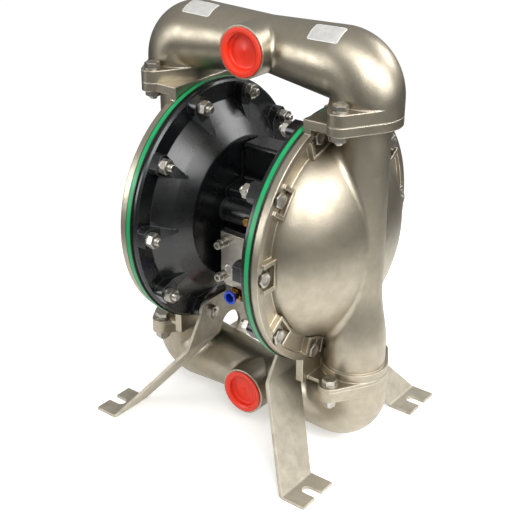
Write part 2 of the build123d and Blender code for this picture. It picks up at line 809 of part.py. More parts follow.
# Screws that hold the air caps to the centre body, driven from inside the chambers
with BuildPart() as right_cap_screws:
    with BuildSketch(across(air_hub_face, 0)) as cap_screw_heads:
        with Locations(
            (cap_screw_low_front, cap_screw_low),
            (cap_screw_back, cap_screw_low),
            (cap_screw_high_front, cap_screw_high),
            (cap_screw_back, cap_screw_high),
        ):
            Circle(cap_screw_head)
    extrude(amount=cap_screw_head_height)
    with BuildSketch(across(air_hub_face, 0)):
        with Locations(
            (cap_screw_low_front, cap_screw_low),
            (cap_screw_back, cap_screw_low),
            (cap_screw_high_front, cap_screw_high),
            (cap_screw_back, cap_screw_high),
        ):
            Circle(cap_screw_radius)
    extrude(amount=-cap_screw_length)
    with BuildSketch(across(air_hub_face + cap_screw_head_height, 0)):
        with Locations(
            (cap_screw_low_front, cap_screw_low),
            (cap_screw_back, cap_screw_low),
            (cap_screw_high_front, cap_screw_high),
            (cap_screw_back, cap_screw_high),
        ):
            RegularPolygon(cap_screw_socket / 2, 6, major_radius=False)
    extrude(amount=-cap_screw_head_height / 2, mode=Mode.SUBTRACT)
right_cap_screws.part.label = "right_cap_screws"
export_step(right_cap_screws.part, "parts/right_cap_screws.step")

with BuildPart() as left_cap_screws:
    mirror(right_cap_screws.part, about=Plane.YZ)
left_cap_screws.part.label = "left_cap_screws"
export_step(left_cap_screws.part, "parts/left_cap_screws.step")

# Right diaphragm: clamped bead, flexing roll and flat middle
with BuildPart() as right_diaphragm:
    with BuildSketch(shaft_plane):
        with BuildLine():
            low = Line(
                (bead_offset + web_sheet / 2, rod_bolt_radius + seat_gap),
                (bead_offset + web_sheet / 2, roll_inner),
            )
            roll = ThreePointArc(
                low @ 1,
                (bead_offset + web_sheet / 2 + roll_rise, (roll_inner + roll_outer) / 2),
                (bead_offset + web_sheet / 2, roll_outer),
            )
            rim = Polyline(
                roll @ 1,
                (bead_offset + web_sheet / 2, clamp_inner_radius),
                (bead_offset + bead_thickness / 2, clamp_inner_radius),
                (bead_offset + bead_thickness / 2, bead_radius),
                (bead_offset - bead_thickness / 2, bead_radius),
                (bead_offset - bead_thickness / 2, clamp_inner_radius),
                (bead_offset - web_sheet / 2, clamp_inner_radius),
                (bead_offset - web_sheet / 2, roll_outer),
            )
            back = ThreePointArc(
                rim @ 1,
                (bead_offset - web_sheet / 2 + roll_rise, (roll_inner + roll_outer) / 2),
                (bead_offset - web_sheet / 2, roll_inner),
            )
            Polyline(
                back @ 1,
                (bead_offset - web_sheet / 2, rod_bolt_radius + seat_gap),
                low @ 0,
            )
        make_face()
    revolve(axis=shaft_axis)
    with BuildSketch(across(bead_offset - bead_thickness / 2)):
        with PolarLocations(chamber_bolt_circle, chamber_bolts):
            Circle(bolt_hole)
    extrude(amount=bead_thickness, mode=Mode.SUBTRACT)
right_diaphragm.part.label = "right_diaphragm"
export_step(right_diaphragm.part, "parts/right_diaphragm.step")

with BuildPart() as left_diaphragm:
    mirror(right_diaphragm.part, about=Plane.YZ)
left_diaphragm.part.label = "left_diaphragm"
export_step(left_diaphragm.part, "parts/left_diaphragm.step")

# Plates that clamp the diaphragm's middle
with BuildPart() as right_inner_plate:
    with BuildSketch(across(rod_half_length)):
        Circle(plate_radius)
        Circle(rod_bolt_radius + hole_gap, mode=Mode.SUBTRACT)
    extrude(amount=inner_plate_thickness)
    fillet(edges().filter_by(GeomType.CIRCLE).sort_by(SortBy.RADIUS)[-2:], plate_edge)
right_inner_plate.part.label = "right_inner_plate"
export_step(right_inner_plate.part, "parts/right_inner_plate.step")

with BuildPart() as left_inner_plate:
    mirror(right_inner_plate.part, about=Plane.YZ)
left_inner_plate.part.label = "left_inner_plate"
export_step(left_inner_plate.part, "parts/left_inner_plate.step")

with BuildPart() as right_outer_plate:
    with BuildSketch(across(bead_offset + web_sheet / 2 + face_gap)):
        Circle(plate_radius)
        Circle(rod_bolt_radius + hole_gap, mode=Mode.SUBTRACT)
    extrude(amount=outer_plate_thickness)
    fillet(edges().filter_by(GeomType.CIRCLE).sort_by(SortBy.RADIUS)[-2:], plate_edge)
right_outer_plate.part.label = "right_outer_plate"
export_step(right_outer_plate.part, "parts/right_outer_plate.step")

with BuildPart() as left_outer_plate:
    mirror(right_outer_plate.part, about=Plane.YZ)
left_outer_plate.part.label = "left_outer_plate"
export_step(left_outer_plate.part, "parts/left_outer_plate.step")

# Shaft that joins the two diaphragms, tapped at both ends
with BuildPart() as main_rod:
    with BuildSketch(across(-rod_half_length)):
        Circle(rod_radius)
    extrude(amount=2 * rod_half_length)
    with BuildSketch(across(rod_half_length)):
        Circle(rod_bolt_radius + thread_gap)
    extrude(amount=-rod_tap_depth, mode=Mode.SUBTRACT)
    with BuildSketch(across(-rod_half_length)):
        Circle(rod_bolt_radius + thread_gap)
    extrude(amount=rod_tap_depth, mode=Mode.SUBTRACT)
main_rod.part.label = "main_rod"
export_step(main_rod.part, "parts/main_rod.step")

with BuildPart() as rod_bolts:
    with BuildSketch(across(rod_bolt_seat)):
        RegularPolygon(rod_bolt_flats / 2, 6, major_radius=False)
    extrude(amount=rod_bolt_head)
    with BuildSketch(across(rod_bolt_seat)):
        Circle(rod_bolt_radius)
    extrude(amount=-rod_bolt_grip)
    mirror(about=Plane.YZ)
rod_bolts.part.label = "rod_bolts"
export_step(rod_bolts.part, "parts/rod_bolts.step")

# Centre body: the block between the air caps, with the nose that carries the pilot
# valve cover, the valve boss across its front and the bores of both rods.
with BuildPart() as centre_body:
    with BuildSketch(across(-body_half, 0)):
        with BuildLine():
            Polyline(
                (-body_front, body_bottom),
                (body_back, body_bottom),
                (body_back, body_top),
                (body_top_front, body_top),
                (body_top_front, body_shoulder + body_corner),
                (-body_front, body_shoulder),
                close=True,
            )
        make_face()
        fillet(vertices(), body_corner)
    extrude(amount=2 * body_half)
    with BuildSketch(facing(body_front - body_corner)):
        with Locations((0, body_bottom)):
            Rectangle(
                2 * nose_half, nose_top - body_bottom, align=(Align.CENTER, Align.MIN)
            )
    extrude(amount=nose_front - body_front + body_corner)
    fillet(edges().filter_by(Axis.Y).group_by(Axis.Z)[0], body_corner)
    with BuildSketch(across(-valve_half, valve_z)):
        with Locations((valve_y, 0)):
            Circle(valve_radius)
    extrude(amount=2 * valve_half)
    # spigots that centre the air caps
    with BuildSketch(across(-air_hub_face)):
        Circle(spigot_radius)
    extrude(amount=2 * air_hub_face)
    # main rod bore, wider for the bushes and seals at both ends
    with BuildSketch(across(-air_hub_face)):
        Circle(rod_radius + hole_gap)
    extrude(amount=2 * air_hub_face, mode=Mode.SUBTRACT)
    with BuildSketch(across(bush_inner)):
        Circle(bush_radius + run_gap)
    extrude(amount=air_hub_face - bush_inner, mode=Mode.SUBTRACT)
    with BuildSketch(across(-bush_inner)):
        Circle(bush_radius + run_gap)
    extrude(amount=bush_inner - air_hub_face, mode=Mode.SUBTRACT)
    # pilot rod bore
    with BuildSketch(across(-body_half, pilot_z)):
        with Locations((pilot_y, 0)):
            Circle(pilot_radius + hole_gap)
    extrude(amount=2 * body_half, mode=Mode.SUBTRACT)
    with BuildSketch(across(body_half - pilot_bush, pilot_z)):
        with Locations((pilot_y, 0)):
            Circle(pilot_bush_radius + run_gap)
    extrude(amount=pilot_bush, mode=Mode.SUBTRACT)
    with BuildSketch(across(pilot_bush - body_half, pilot_z)):
        with Locations((pilot_y, 0)):
            Circle(pilot_bush_radius + run_gap)
    extrude(amount=-pilot_bush, mode=Mode.SUBTRACT)
    # spool bore, and the recesses of its end caps
    with BuildSketch(across(-valve_half, valve_z)):
        with Locations((valve_y, 0)):
            Circle(spool_radius + run_gap)
    extrude(amount=2 * valve_half, mode=Mode.SUBTRACT)
    with BuildSketch(across(valve_half, valve_z)):
        with Locations((valve_y, 0)):
            Circle(valve_cap_radius + seat_gap)
    extrude(amount=body_half - valve_half, mode=Mode.SUBTRACT)
    with BuildSketch(across(-valve_half, valve_z)):
        with Locations((valve_y, 0)):
            Circle(valve_cap_radius + seat_gap)
    extrude(amount=valve_half - body_half, mode=Mode.SUBTRACT)
    # tapped holes of the air cap screws
    with BuildSketch(across(body_half, 0)):
        with Locations(
            (cap_screw_low_front, cap_screw_low),
            (cap_screw_back, cap_screw_low),
            (cap_screw_high_front, cap_screw_high),
            (cap_screw_back, cap_screw_high),
        ):
            Circle(cap_screw_radius + thread_gap)
    extrude(amount=-cap_tap_depth, mode=Mode.SUBTRACT)
    with BuildSketch(across(-body_half, 0)):
        with Locations(
            (cap_screw_low_front, cap_screw_low),
            (cap_screw_back, cap_screw_low),
            (cap_screw_high_front, cap_screw_high),
            (cap_screw_back, cap_screw_high),
        ):
            Circle(cap_screw_radius + thread_gap)
    extrude(amount=cap_tap_depth, mode=Mode.SUBTRACT)
    # tapped holes of the cover screws and of the air inlet
    with BuildSketch(facing(nose_front)):
        with Locations(
            (cover_screw_x, cover_screw_low),
            (-cover_screw_x, cover_screw_low),
            (cover_screw_x, cover_screw_high),
            (-cover_screw_x, cover_screw_high),
        ):
            Circle(cover_screw_radius + thread_gap)
    extrude(amount=cover_seat - nose_front - cover_screw_length - hole_gap, mode=Mode.SUBTRACT)
    with BuildSketch(facing(nose_front)):
        with Locations((inlet_x, inlet_z)):
            Circle(inlet_thread_radius + thread_gap)
    extrude(amount=-inlet_bore_depth, mode=Mode.SUBTRACT)
    # spot face and tapped hole of the plug on the valve boss
    with BuildSketch(facing(valve_radius - valve_y)):
        with Locations((plug_x, valve_z)):
            Circle(plug_spot_radius)
    extrude(amount=-plug_spot, mode=Mode.SUBTRACT)
    with BuildSketch(facing(valve_radius - valve_y)):
        with Locations((plug_x, valve_z)):
            Circle(plug_thread_radius + thread_gap)
    extrude(amount=-valve_radius, mode=Mode.SUBTRACT)
    # exhaust port
    with BuildSketch(facing(-body_back)):
        with Locations((0, exhaust_z)):
            Circle(exhaust_radius + thread_gap)
    extrude(amount=exhaust_thread + hole_gap, mode=Mode.SUBTRACT)
centre_body.part.label = "centre_body"
export_step(centre_body.part, "parts/centre_body.step")

# Bushes and lip seals of the main rod
with BuildPart() as rod_bushes:
    with BuildSketch(across(bush_inner)):
        Circle(bush_radius)
        Circle(rod_radius + run_gap, mode=Mode.SUBTRACT)
    extrude(amount=bush_outer - bush_inner)
    mirror(about=Plane.YZ)
rod_bushes.part.label = "rod_bushes"
export_step(rod_bushes.part, "parts/rod_bushes.step")

with BuildPart() as rod_seals:
    with BuildSketch(across(bush_outer)):
        Circle(bush_radius)
        Circle(rod_radius + run_gap, mode=Mode.SUBTRACT)
    extrude(amount=seal_length)
    mirror(about=Plane.YZ)
rod_seals.part.label = "rod_seals"
export_step(rod_seals.part, "parts/rod_seals.step")

# Pilot rod and its bushes
with BuildPart() as pilot_rod:
    with BuildSketch(across(-pilot_half, pilot_z)):
        with Locations((pilot_y, 0)):
            Circle(pilot_radius)
    extrude(amount=2 * pilot_half)
pilot_rod.part.label = "pilot_rod"
export_step(pilot_rod.part, "parts/pilot_rod.step")

with BuildPart() as pilot_bushes:
    with BuildSketch(across(body_half - pilot_bush, pilot_z)):
        with Locations((pilot_y, 0)):
            Circle(pilot_bush_radius)
            Circle(pilot_radius + run_gap, mode=Mode.SUBTRACT)
    extrude(amount=pilot_bush)
    mirror(about=Plane.YZ)
pilot_bushes.part.label = "pilot_bushes"
export_step(pilot_bushes.part, "parts/pilot_bushes.step")

# Spool of the main air valve, with three lands, and the caps that close its bore
with BuildPart() as valve_spool:
    with BuildSketch(across(-spool_half, valve_z)):
        with Locations((valve_y, 0)):
            Circle(spool_radius - run_gap)
    extrude(amount=2 * spool_half)
    with BuildSketch(across(spool_land / 2, valve_z)):
        with Locations((valve_y, 0)):
            Circle(spool_radius)
            Circle(spool_waist, mode=Mode.SUBTRACT)
    extrude(amount=spool_half - spool_land * 1.5, mode=Mode.SUBTRACT)
    with BuildSketch(across(-spool_land / 2, valve_z)):
        with Locations((valve_y, 0)):
            Circle(spool_radius)
            Circle(spool_waist, mode=Mode.SUBTRACT)
    extrude(amount=spool_land * 1.5 - spool_half, mode=Mode.SUBTRACT)
valve_spool.part.label = "valve_spool"
export_step(valve_spool.part, "parts/valve_spool.step")

with BuildPart() as spool_end_caps:
    with BuildSketch(across(valve_half, valve_z)):
        with Locations((valve_y, 0)):
            Circle(valve_cap_radius)
    extrude(amount=body_half - valve_half - face_gap)
    with BuildSketch(across(valve_half, valve_z)):
        with Locations((valve_y, 0)):
            Circle(spool_radius - run_gap)
    extrude(amount=-valve_cap_spigot)
    mirror(about=Plane.YZ)
spool_end_caps.part.label = "spool_end_caps"
export_step(spool_end_caps.part, "parts/spool_end_caps.step")

# Gaskets between the centre body and the air caps
with BuildPart() as air_cap_gaskets:
    with BuildSketch(across(body_half, 0)):
        with BuildLine():
            Polyline(
                (-body_front, body_bottom + gasket_trim),
                (body_back, body_bottom + gasket_trim),
                (body_back, body_top - gasket_trim),
                (body_top_front, body_top - gasket_trim),
                (body_top_front, body_shoulder + body_corner),
                (-body_front, body_shoulder),
                close=True,
            )
        make_face()
        fillet(vertices(), body_corner)
        with Locations((0, axis_height)):
            Circle(spigot_radius + seat_gap, mode=Mode.SUBTRACT)
        with Locations((pilot_y, pilot_z)):
            Circle(pilot_bush_radius, mode=Mode.SUBTRACT)
        with Locations(
            (cap_screw_low_front, cap_screw_low),
            (cap_screw_back, cap_screw_low),
            (cap_screw_high_front, cap_screw_high),
            (cap_screw_back, cap_screw_high),
        ):
            Circle(cap_screw_radius + hole_gap, mode=Mode.SUBTRACT)
    extrude(amount=gasket_sheet)
    mirror(about=Plane.YZ)
air_cap_gaskets.part.label = "air_cap_gaskets"
export_step(air_cap_gaskets.part, "parts/air_cap_gaskets.step")

# Pilot valve cover on the nose, its gasket and its four socket head screws
with BuildPart() as valve_cover_gasket:
    with BuildSketch(facing(nose_front)):
        with BuildLine():
            Polyline(
                (-nose_half, cover_bottom + cover_corner),
                (-nose_half + cover_corner, cover_bottom),
                (nose_half - cover_corner, cover_bottom),
                (nose_half, cover_bottom + cover_corner),
                (nose_half, cover_top),
                (-nose_half, cover_top),
                close=True,
            )
        make_face()
        with Locations(
            (cover_screw_x, cover_screw_low),
            (-cover_screw_x, cover_screw_low),
            (cover_screw_x, cover_screw_high),
            (-cover_screw_x, cover_screw_high),
        ):
            Circle(cover_screw_radius + hole_gap, mode=Mode.SUBTRACT)
    extrude(amount=gasket_thickness)
valve_cover_gasket.part.label = "valve_cover_gasket"
export_step(valve_cover_gasket.part, "parts/valve_cover_gasket.step")

with BuildPart() as valve_cover:
    with BuildSketch(facing(nose_front + gasket_thickness)):
        with BuildLine():
            Polyline(
                (-cover_half, cover_bottom + cover_corner),
                (-cover_half + cover_corner, cover_bottom),
                (cover_half - cover_corner, cover_bottom),
                (cover_half, cover_bottom + cover_corner),
                (cover_half, cover_top),
                (-cover_half, cover_top),
                close=True,
            )
        make_face()
    extrude(amount=cover_thickness)
    fillet(faces().sort_by(Axis.Y)[0].edges(), cover_edge)
    with BuildSketch(facing(valve_front)):
        with Locations(
            (cover_screw_x, cover_screw_low),
            (-cover_screw_x, cover_screw_low),
            (cover_screw_x, cover_screw_high),
            (-cover_screw_x, cover_screw_high),
        ):
            Circle(cover_boss_radius)
    extrude(amount=cover_boss_height)
    with BuildSketch(facing(nose_front + gasket_thickness)):
        with Locations(
            (cover_screw_x, cover_screw_low),
            (-cover_screw_x, cover_screw_low),
            (cover_screw_x, cover_screw_high),
            (-cover_screw_x, cover_screw_high),
        ):
            Circle(cover_screw_radius + hole_gap)
    extrude(amount=cover_thickness + cover_boss_height, mode=Mode.SUBTRACT)
valve_cover.part.label = "valve_cover"
export_step(valve_cover.part, "parts/valve_cover.step")

with BuildPart() as valve_cover_screws:
    with BuildSketch(facing(cover_seat)):
        with Locations(
            (cover_screw_x, cover_screw_low),
            (-cover_screw_x, cover_screw_low),
            (cover_screw_x, cover_screw_high),
            (-cover_screw_x, cover_screw_high),
        ):
            Circle(cover_head_radius)
    extrude(amount=cover_head_height)
    with BuildSketch(facing(cover_seat)):
        with Locations(
            (cover_screw_x, cover_screw_low),
            (-cover_screw_x, cover_screw_low),
            (cover_screw_x, cover_screw_high),
            (-cover_screw_x, cover_screw_high),
        ):
            Circle(cover_screw_radius)
    extrude(amount=-cover_screw_length)
    with BuildSketch(facing(cover_seat + cover_head_height)):
        with Locations(
            (cover_screw_x, cover_screw_low),
            (-cover_screw_x, cover_screw_low),
            (cover_screw_x, cover_screw_high),
            (-cover_screw_x, cover_screw_high),
        ):
            RegularPolygon(cover_socket / 2, 6, major_radius=False)
    extrude(amount=-cover_head_height / 2, mode=Mode.SUBTRACT)
valve_cover_screws.part.label = "valve_cover_screws"
export_step(valve_cover_screws.part, "parts/valve_cover_screws.step")

# Push-in air fitting with its release collar
with BuildPart() as air_fitting:
    with BuildSketch(facing(nose_front)):
        with Locations((inlet_x, inlet_z)):
            Circle(inlet_thread_radius)
    extrude(amount=-inlet_thread_length)
    with BuildSketch(facing(nose_front)):
        with Locations((inlet_x, inlet_z)):
            RegularPolygon(fitting_flats / 2, 6, major_radius=False)
    extrude(amount=fitting_hex)
    with BuildSketch(facing(nose_front + fitting_hex)):
        with Locations((inlet_x, inlet_z)):
            Circle(fitting_body_radius)
    extrude(amount=fitting_body)
    with BuildSketch(facing(fitting_end)):
        with Locations((inlet_x, inlet_z)):
            Circle(air_bore)
    extrude(amount=nose_front - inlet_thread_length - fitting_end - hole_gap, mode=Mode.SUBTRACT)
    with BuildSketch(facing(fitting_end)):
        with Locations((inlet_x, inlet_z)):
            Circle(tube_hole_radius)
    extrude(amount=-tube_hole_depth, mode=Mode.SUBTRACT)
    with BuildSketch(facing(fitting_end)):
        with Locations((inlet_x, inlet_z)):
            Circle(collar_sleeve_radius + run_gap)
    extrude(amount=-collar_sleeve - collar_travel - seat_gap, mode=Mode.SUBTRACT)
air_fitting.part.label = "air_fitting"
export_step(air_fitting.part, "parts/air_fitting.step")

with BuildPart() as release_collar:
    with BuildSketch(facing(collar_back)):
        with Locations((inlet_x, inlet_z)):
            Circle(collar_radius)
    extrude(amount=collar_face)
    with BuildSketch(facing(collar_back)):
        with Locations((inlet_x, inlet_z)):
            Circle(collar_sleeve_radius)
    extrude(amount=-collar_travel - seat_gap - collar_sleeve)
    with BuildSketch(facing(collar_back + collar_face)):
        with Locations((inlet_x, inlet_z)):
            Circle(tube_hole_radius + collar_clearance)
    extrude(
        amount=-collar_face - collar_travel - seat_gap - collar_sleeve,
        mode=Mode.SUBTRACT,
    )
release_collar.part.label = "release_collar"
export_step(release_collar.part, "parts/release_collar.step")

# Plug on the valve boss
with BuildPart() as brass_plug:
    with BuildSketch(facing(valve_radius - valve_y - plug_spot)):
        with Locations((plug_x, valve_z)):
            RegularPolygon(plug_flats / 2, 6, major_radius=False)
    extrude(amount=plug_head)
    with BuildSketch(facing(valve_radius - valve_y - plug_spot)):
        with Locations((plug_x, valve_z)):
            Circle(plug_thread_radius)
    extrude(amount=-plug_thread)
brass_plug.part.label = "brass_plug"
export_step(brass_plug.part, "parts/brass_plug.step")

# Exhaust silencer on the back of the centre body
with BuildPart() as exhaust_silencer:
    with BuildSketch(facing(exhaust_thread - body_back)):
        with Locations((0, exhaust_z)):
            Circle(exhaust_radius)
    extrude(amount=-exhaust_thread - silencer_neck)
    with BuildSketch(facing(-body_back - silencer_neck)):
        with Locations((0, exhaust_z)):
            Circle(silencer_radius)
    extrude(amount=-silencer_length)
    fillet(edges().filter_by(GeomType.CIRCLE).sort_by(Axis.Y)[-1], silencer_end)
    with BuildSketch(facing(-body_back - silencer_neck - silencer_end)):
        with Locations((0, exhaust_z)):
            with PolarLocations(silencer_radius, silencer_slots):
                Rectangle(2 * silencer_slot_depth, silencer_slot_width)
    extrude(amount=-silencer_length + 2 * silencer_end, mode=Mode.SUBTRACT)
exhaust_silencer.part.label = "exhaust_silencer"
export_step(exhaust_silencer.part, "parts/exhaust_silencer.step")

# Chamber joint fasteners. The two lowest bolts of each side also hold a foot.
with BuildPart() as right_chamber_bolts:
    with BuildSketch(across(head_seat)):
        with PolarLocations(chamber_bolt_circle, chamber_bolts):
            RegularPolygon(hex_flats / 2, 6, major_radius=False, rotation=30)
    extrude(amount=head_height)
    with BuildSketch(across(head_seat)):
        with PolarLocations(chamber_bolt_circle, chamber_bolts):
            Circle(bolt_radius)
    extrude(amount=-chamber_bolt_length)
right_chamber_bolts.part.label = "right_chamber_bolts"
export_step(right_chamber_bolts.part, "parts/right_chamber_bolts.step")

with BuildPart() as left_chamber_bolts:
    mirror(right_chamber_bolts.part, about=Plane.YZ)
left_chamber_bolts.part.label = "left_chamber_bolts"
export_step(left_chamber_bolts.part, "parts/left_chamber_bolts.step")

with BuildPart() as right_chamber_washers:
    with BuildSketch(across(floor_face)):
        with PolarLocations(chamber_bolt_circle, chamber_bolts):
            Circle(chamber_washer_radius)
            Circle(bolt_hole, mode=Mode.SUBTRACT)
    extrude(amount=washer_thickness)
    with BuildSketch(across(boss_face)):
        with PolarLocations(chamber_bolt_circle, chamber_bolts - 2, start_angle=-36, angular_range=288):
            Circle(chamber_washer_radius)
            Circle(bolt_hole, mode=Mode.SUBTRACT)
    extrude(amount=-washer_thickness)
    with BuildSketch(across(foot_face, foot_bolt_z)):
        with Locations((foot_bolt_y, 0), (-foot_bolt_y, 0)):
            Circle(chamber_washer_radius)
            Circle(bolt_hole, mode=Mode.SUBTRACT)
    extrude(amount=-washer_thickness)
right_chamber_washers.part.label = "right_chamber_washers"
export_step(right_chamber_washers.part, "parts/right_chamber_washers.step")

with BuildPart() as left_chamber_washers:
    mirror(right_chamber_washers.part, about=Plane.YZ)
left_chamber_washers.part.label = "left_chamber_washers"
export_step(left_chamber_washers.part, "parts/left_chamber_washers.step")

with BuildPart() as right_chamber_nuts:
    with BuildSketch(across(boss_face - washer_thickness)):
        with PolarLocations(chamber_bolt_circle, chamber_bolts - 2, start_angle=-36, angular_range=288):
            RegularPolygon(hex_flats / 2, 6, major_radius=False, rotation=30)
            Circle(nut_hole, mode=Mode.SUBTRACT)
    extrude(amount=-nut_height)
    with BuildSketch(across(foot_face - washer_thickness, foot_bolt_z)):
        with Locations((foot_bolt_y, 0), (-foot_bolt_y, 0)):
            RegularPolygon(hex_flats / 2, 6, major_radius=False)
            Circle(nut_hole, mode=Mode.SUBTRACT)
    extrude(amount=-nut_height)
right_chamber_nuts.part.label = "right_chamber_nuts"
export_step(right_chamber_nuts.part, "parts/right_chamber_nuts.step")

with BuildPart() as left_chamber_nuts:
    mirror(right_chamber_nuts.part, about=Plane.YZ)
left_chamber_nuts.part.label = "left_chamber_nuts"
export_step(left_chamber_nuts.part, "parts/left_chamber_nuts.step")

# Outlet manifold fasteners: washers under the heads, nuts under the cap plates
with BuildPart() as outlet_bolts:
    with BuildSketch(Plane.XY.offset(top_joint + outlet_ear + washer_thickness)):
        with GridLocations(2 * pipe_offset, 2 * ear_bolt_offset, 2, 2):
            RegularPolygon(hex_flats / 2, 6, major_radius=False)
    extrude(amount=head_height)
    with BuildSketch(Plane.XY.offset(top_joint + outlet_ear + washer_thickness)):
        with GridLocations(2 * pipe_offset, 2 * ear_bolt_offset, 2, 2):
            Circle(bolt_radius)
    extrude(amount=-outlet_bolt_length)
outlet_bolts.part.label = "outlet_bolts"
export_step(outlet_bolts.part, "parts/outlet_bolts.step")

with BuildPart() as outlet_washers:
    with BuildSketch(Plane.XY.offset(top_joint + outlet_ear)):
        with GridLocations(2 * pipe_offset, 2 * ear_bolt_offset, 2, 2):
            Circle(washer_radius)
            Circle(bolt_hole, mode=Mode.SUBTRACT)
    extrude(amount=washer_thickness)
outlet_washers.part.label = "outlet_washers"
export_step(outlet_washers.part, "parts/outlet_washers.step")

with BuildPart() as outlet_nuts:
    with BuildSketch(Plane.XY.offset(top_joint - cap_top_plate)):
        with GridLocations(2 * pipe_offset, 2 * ear_bolt_offset, 2, 2):
            RegularPolygon(hex_flats / 2, 6, major_radius=False)
            Circle(nut_hole, mode=Mode.SUBTRACT)
    extrude(amount=-nut_height)
outlet_nuts.part.label = "outlet_nuts"
export_step(outlet_nuts.part, "parts/outlet_nuts.step")

# Inlet manifold fasteners: heads on the cap plates, washers and nuts under the ears
with BuildPart() as inlet_bolts:
    with BuildSketch(Plane.XY.offset(bottom_joint + cap_bottom_plate + washer_thickness)):
        with GridLocations(2 * pipe_offset, 2 * ear_bolt_offset, 2, 2):
            RegularPolygon(hex_flats / 2, 6, major_radius=False)
    extrude(amount=head_height)
    with BuildSketch(Plane.XY.offset(bottom_joint + cap_bottom_plate + washer_thickness)):
        with GridLocations(2 * pipe_offset, 2 * ear_bolt_offset, 2, 2):
            Circle(bolt_radius)
    extrude(amount=-inlet_bolt_length)
inlet_bolts.part.label = "inlet_bolts"
export_step(inlet_bolts.part, "parts/inlet_bolts.step")

with BuildPart() as inlet_washers:
    with BuildSketch(Plane.XY.offset(bottom_joint + cap_bottom_plate)):
        with GridLocations(2 * pipe_offset, 2 * ear_bolt_offset, 2, 2):
            Circle(washer_radius)
            Circle(bolt_hole, mode=Mode.SUBTRACT)
    extrude(amount=washer_thickness)
    with BuildSketch(Plane.XY.offset(bottom_joint - inlet_ear)):
        with GridLocations(2 * pipe_offset, 2 * ear_bolt_offset, 2, 2):
            Circle(washer_radius)
            Circle(bolt_hole, mode=Mode.SUBTRACT)
    extrude(amount=-washer_thickness)
inlet_washers.part.label = "inlet_washers"
export_step(inlet_washers.part, "parts/inlet_washers.step")

with BuildPart() as inlet_nuts:
    with BuildSketch(Plane.XY.offset(bottom_joint - inlet_ear - washer_thickness)):
        with GridLocations(2 * pipe_offset, 2 * ear_bolt_offset, 2, 2):
            RegularPolygon(hex_flats / 2, 6, major_radius=False)
            Circle(nut_hole, mode=Mode.SUBTRACT)
    extrude(amount=-nut_height)
inlet_nuts.part.label = "inlet_nuts"
export_step(inlet_nuts.part, "parts/inlet_nuts.step")

# Right foot, one bent plate: an upright bolted to the air cap, two splayed legs and
# a pad at the end of each leg with an open slot.
with BuildPart() as right_foot:
    with BuildSketch(facing(0)):
        with BuildLine():
            FilletPolyline(
                (leg_mid, foot_top),
                (leg_mid, bend_height),
                (foot_in, plate / 2),
                (foot_out, plate / 2),
                radius=foot_bend,
            )
        trace(line_width=plate)
    extrude(amount=foot_out_half, both=True)
    with BuildSketch(across(foot_face, 0)):
        with BuildLine():
            side = Polyline(
                (arch_side, arch_side_height),
                (leg_in_top, bend_height),
                (foot_in_half, plate),
                (foot_in_half, 0),
                (foot_out_half, 0),
                (foot_out_half, plate),
                (leg_out_top, bend_height),
                (foot_top_half, foot_bolt_z),
                (foot_top_half, foot_top),
                (0, foot_top),
            )
            other_side = mirror(side, about=Plane.YZ)
            ThreePointArc(side @ 0, (0, arch_height), (-arch_side, arch_side_height))
        make_face()
        fillet(vertices().group_by(Axis.Y)[-1], foot_corner)
    extrude(amount=foot_out, mode=Mode.INTERSECT)
    with BuildSketch(across(foot_face, foot_bolt_z)):
        with Locations((foot_bolt_y, 0), (-foot_bolt_y, 0)):
            Circle(bolt_hole)
    extrude(amount=plate, mode=Mode.SUBTRACT)
    with BuildSketch(Plane.XY):
        with Locations((slot_end + slot_width / 2, slot_y), (slot_end + slot_width / 2, -slot_y)):
            Circle(slot_width / 2)
            Rectangle(foot_out, slot_width, align=(Align.MIN, Align.CENTER))
    extrude(amount=plate, mode=Mode.SUBTRACT)
right_foot.part.label = "right_foot"
export_step(right_foot.part, "parts/right_foot.step")

with BuildPart() as left_foot:
    mirror(right_foot.part, about=Plane.YZ)
left_foot.part.label = "left_foot"
export_step(left_foot.part, "parts/left_foot.step")

# Transport plugs pushed into the two ports
with BuildPart() as outlet_plug:
    with BuildSketch(facing(port_reach + seat_gap)):
        with Locations((0, outlet_height)):
            Circle(port_plug_radius)
    extrude(amount=port_plug_flange)
    with BuildSketch(facing(port_reach + seat_gap)):
        with Locations((0, outlet_height)):
            Circle(thread_bore - port_plug_gap)
    extrude(amount=-port_plug_depth)
    with BuildSketch(facing(port_reach + seat_gap + port_plug_flange)):
        with Locations((0, outlet_height)):
            Circle(thread_bore - port_plug_gap - port_plug_wall)
    extrude(amount=port_plug_wall - port_plug_depth - port_plug_flange, mode=Mode.SUBTRACT)
outlet_plug.part.label = "outlet_plug"
export_step(outlet_plug.part, "parts/outlet_plug.step")

with BuildPart() as inlet_plug:
    add(outlet_plug.part.moved(Location((0, 0, inlet_height - outlet_height))))
inlet_plug.part.label = "inlet_plug"
export_step(inlet_plug.part, "parts/inlet_plug.step")
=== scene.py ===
import math

import bmesh
import bpy
from mathutils import Matrix, Vector
from mathutils.bvhtree import BVHTree


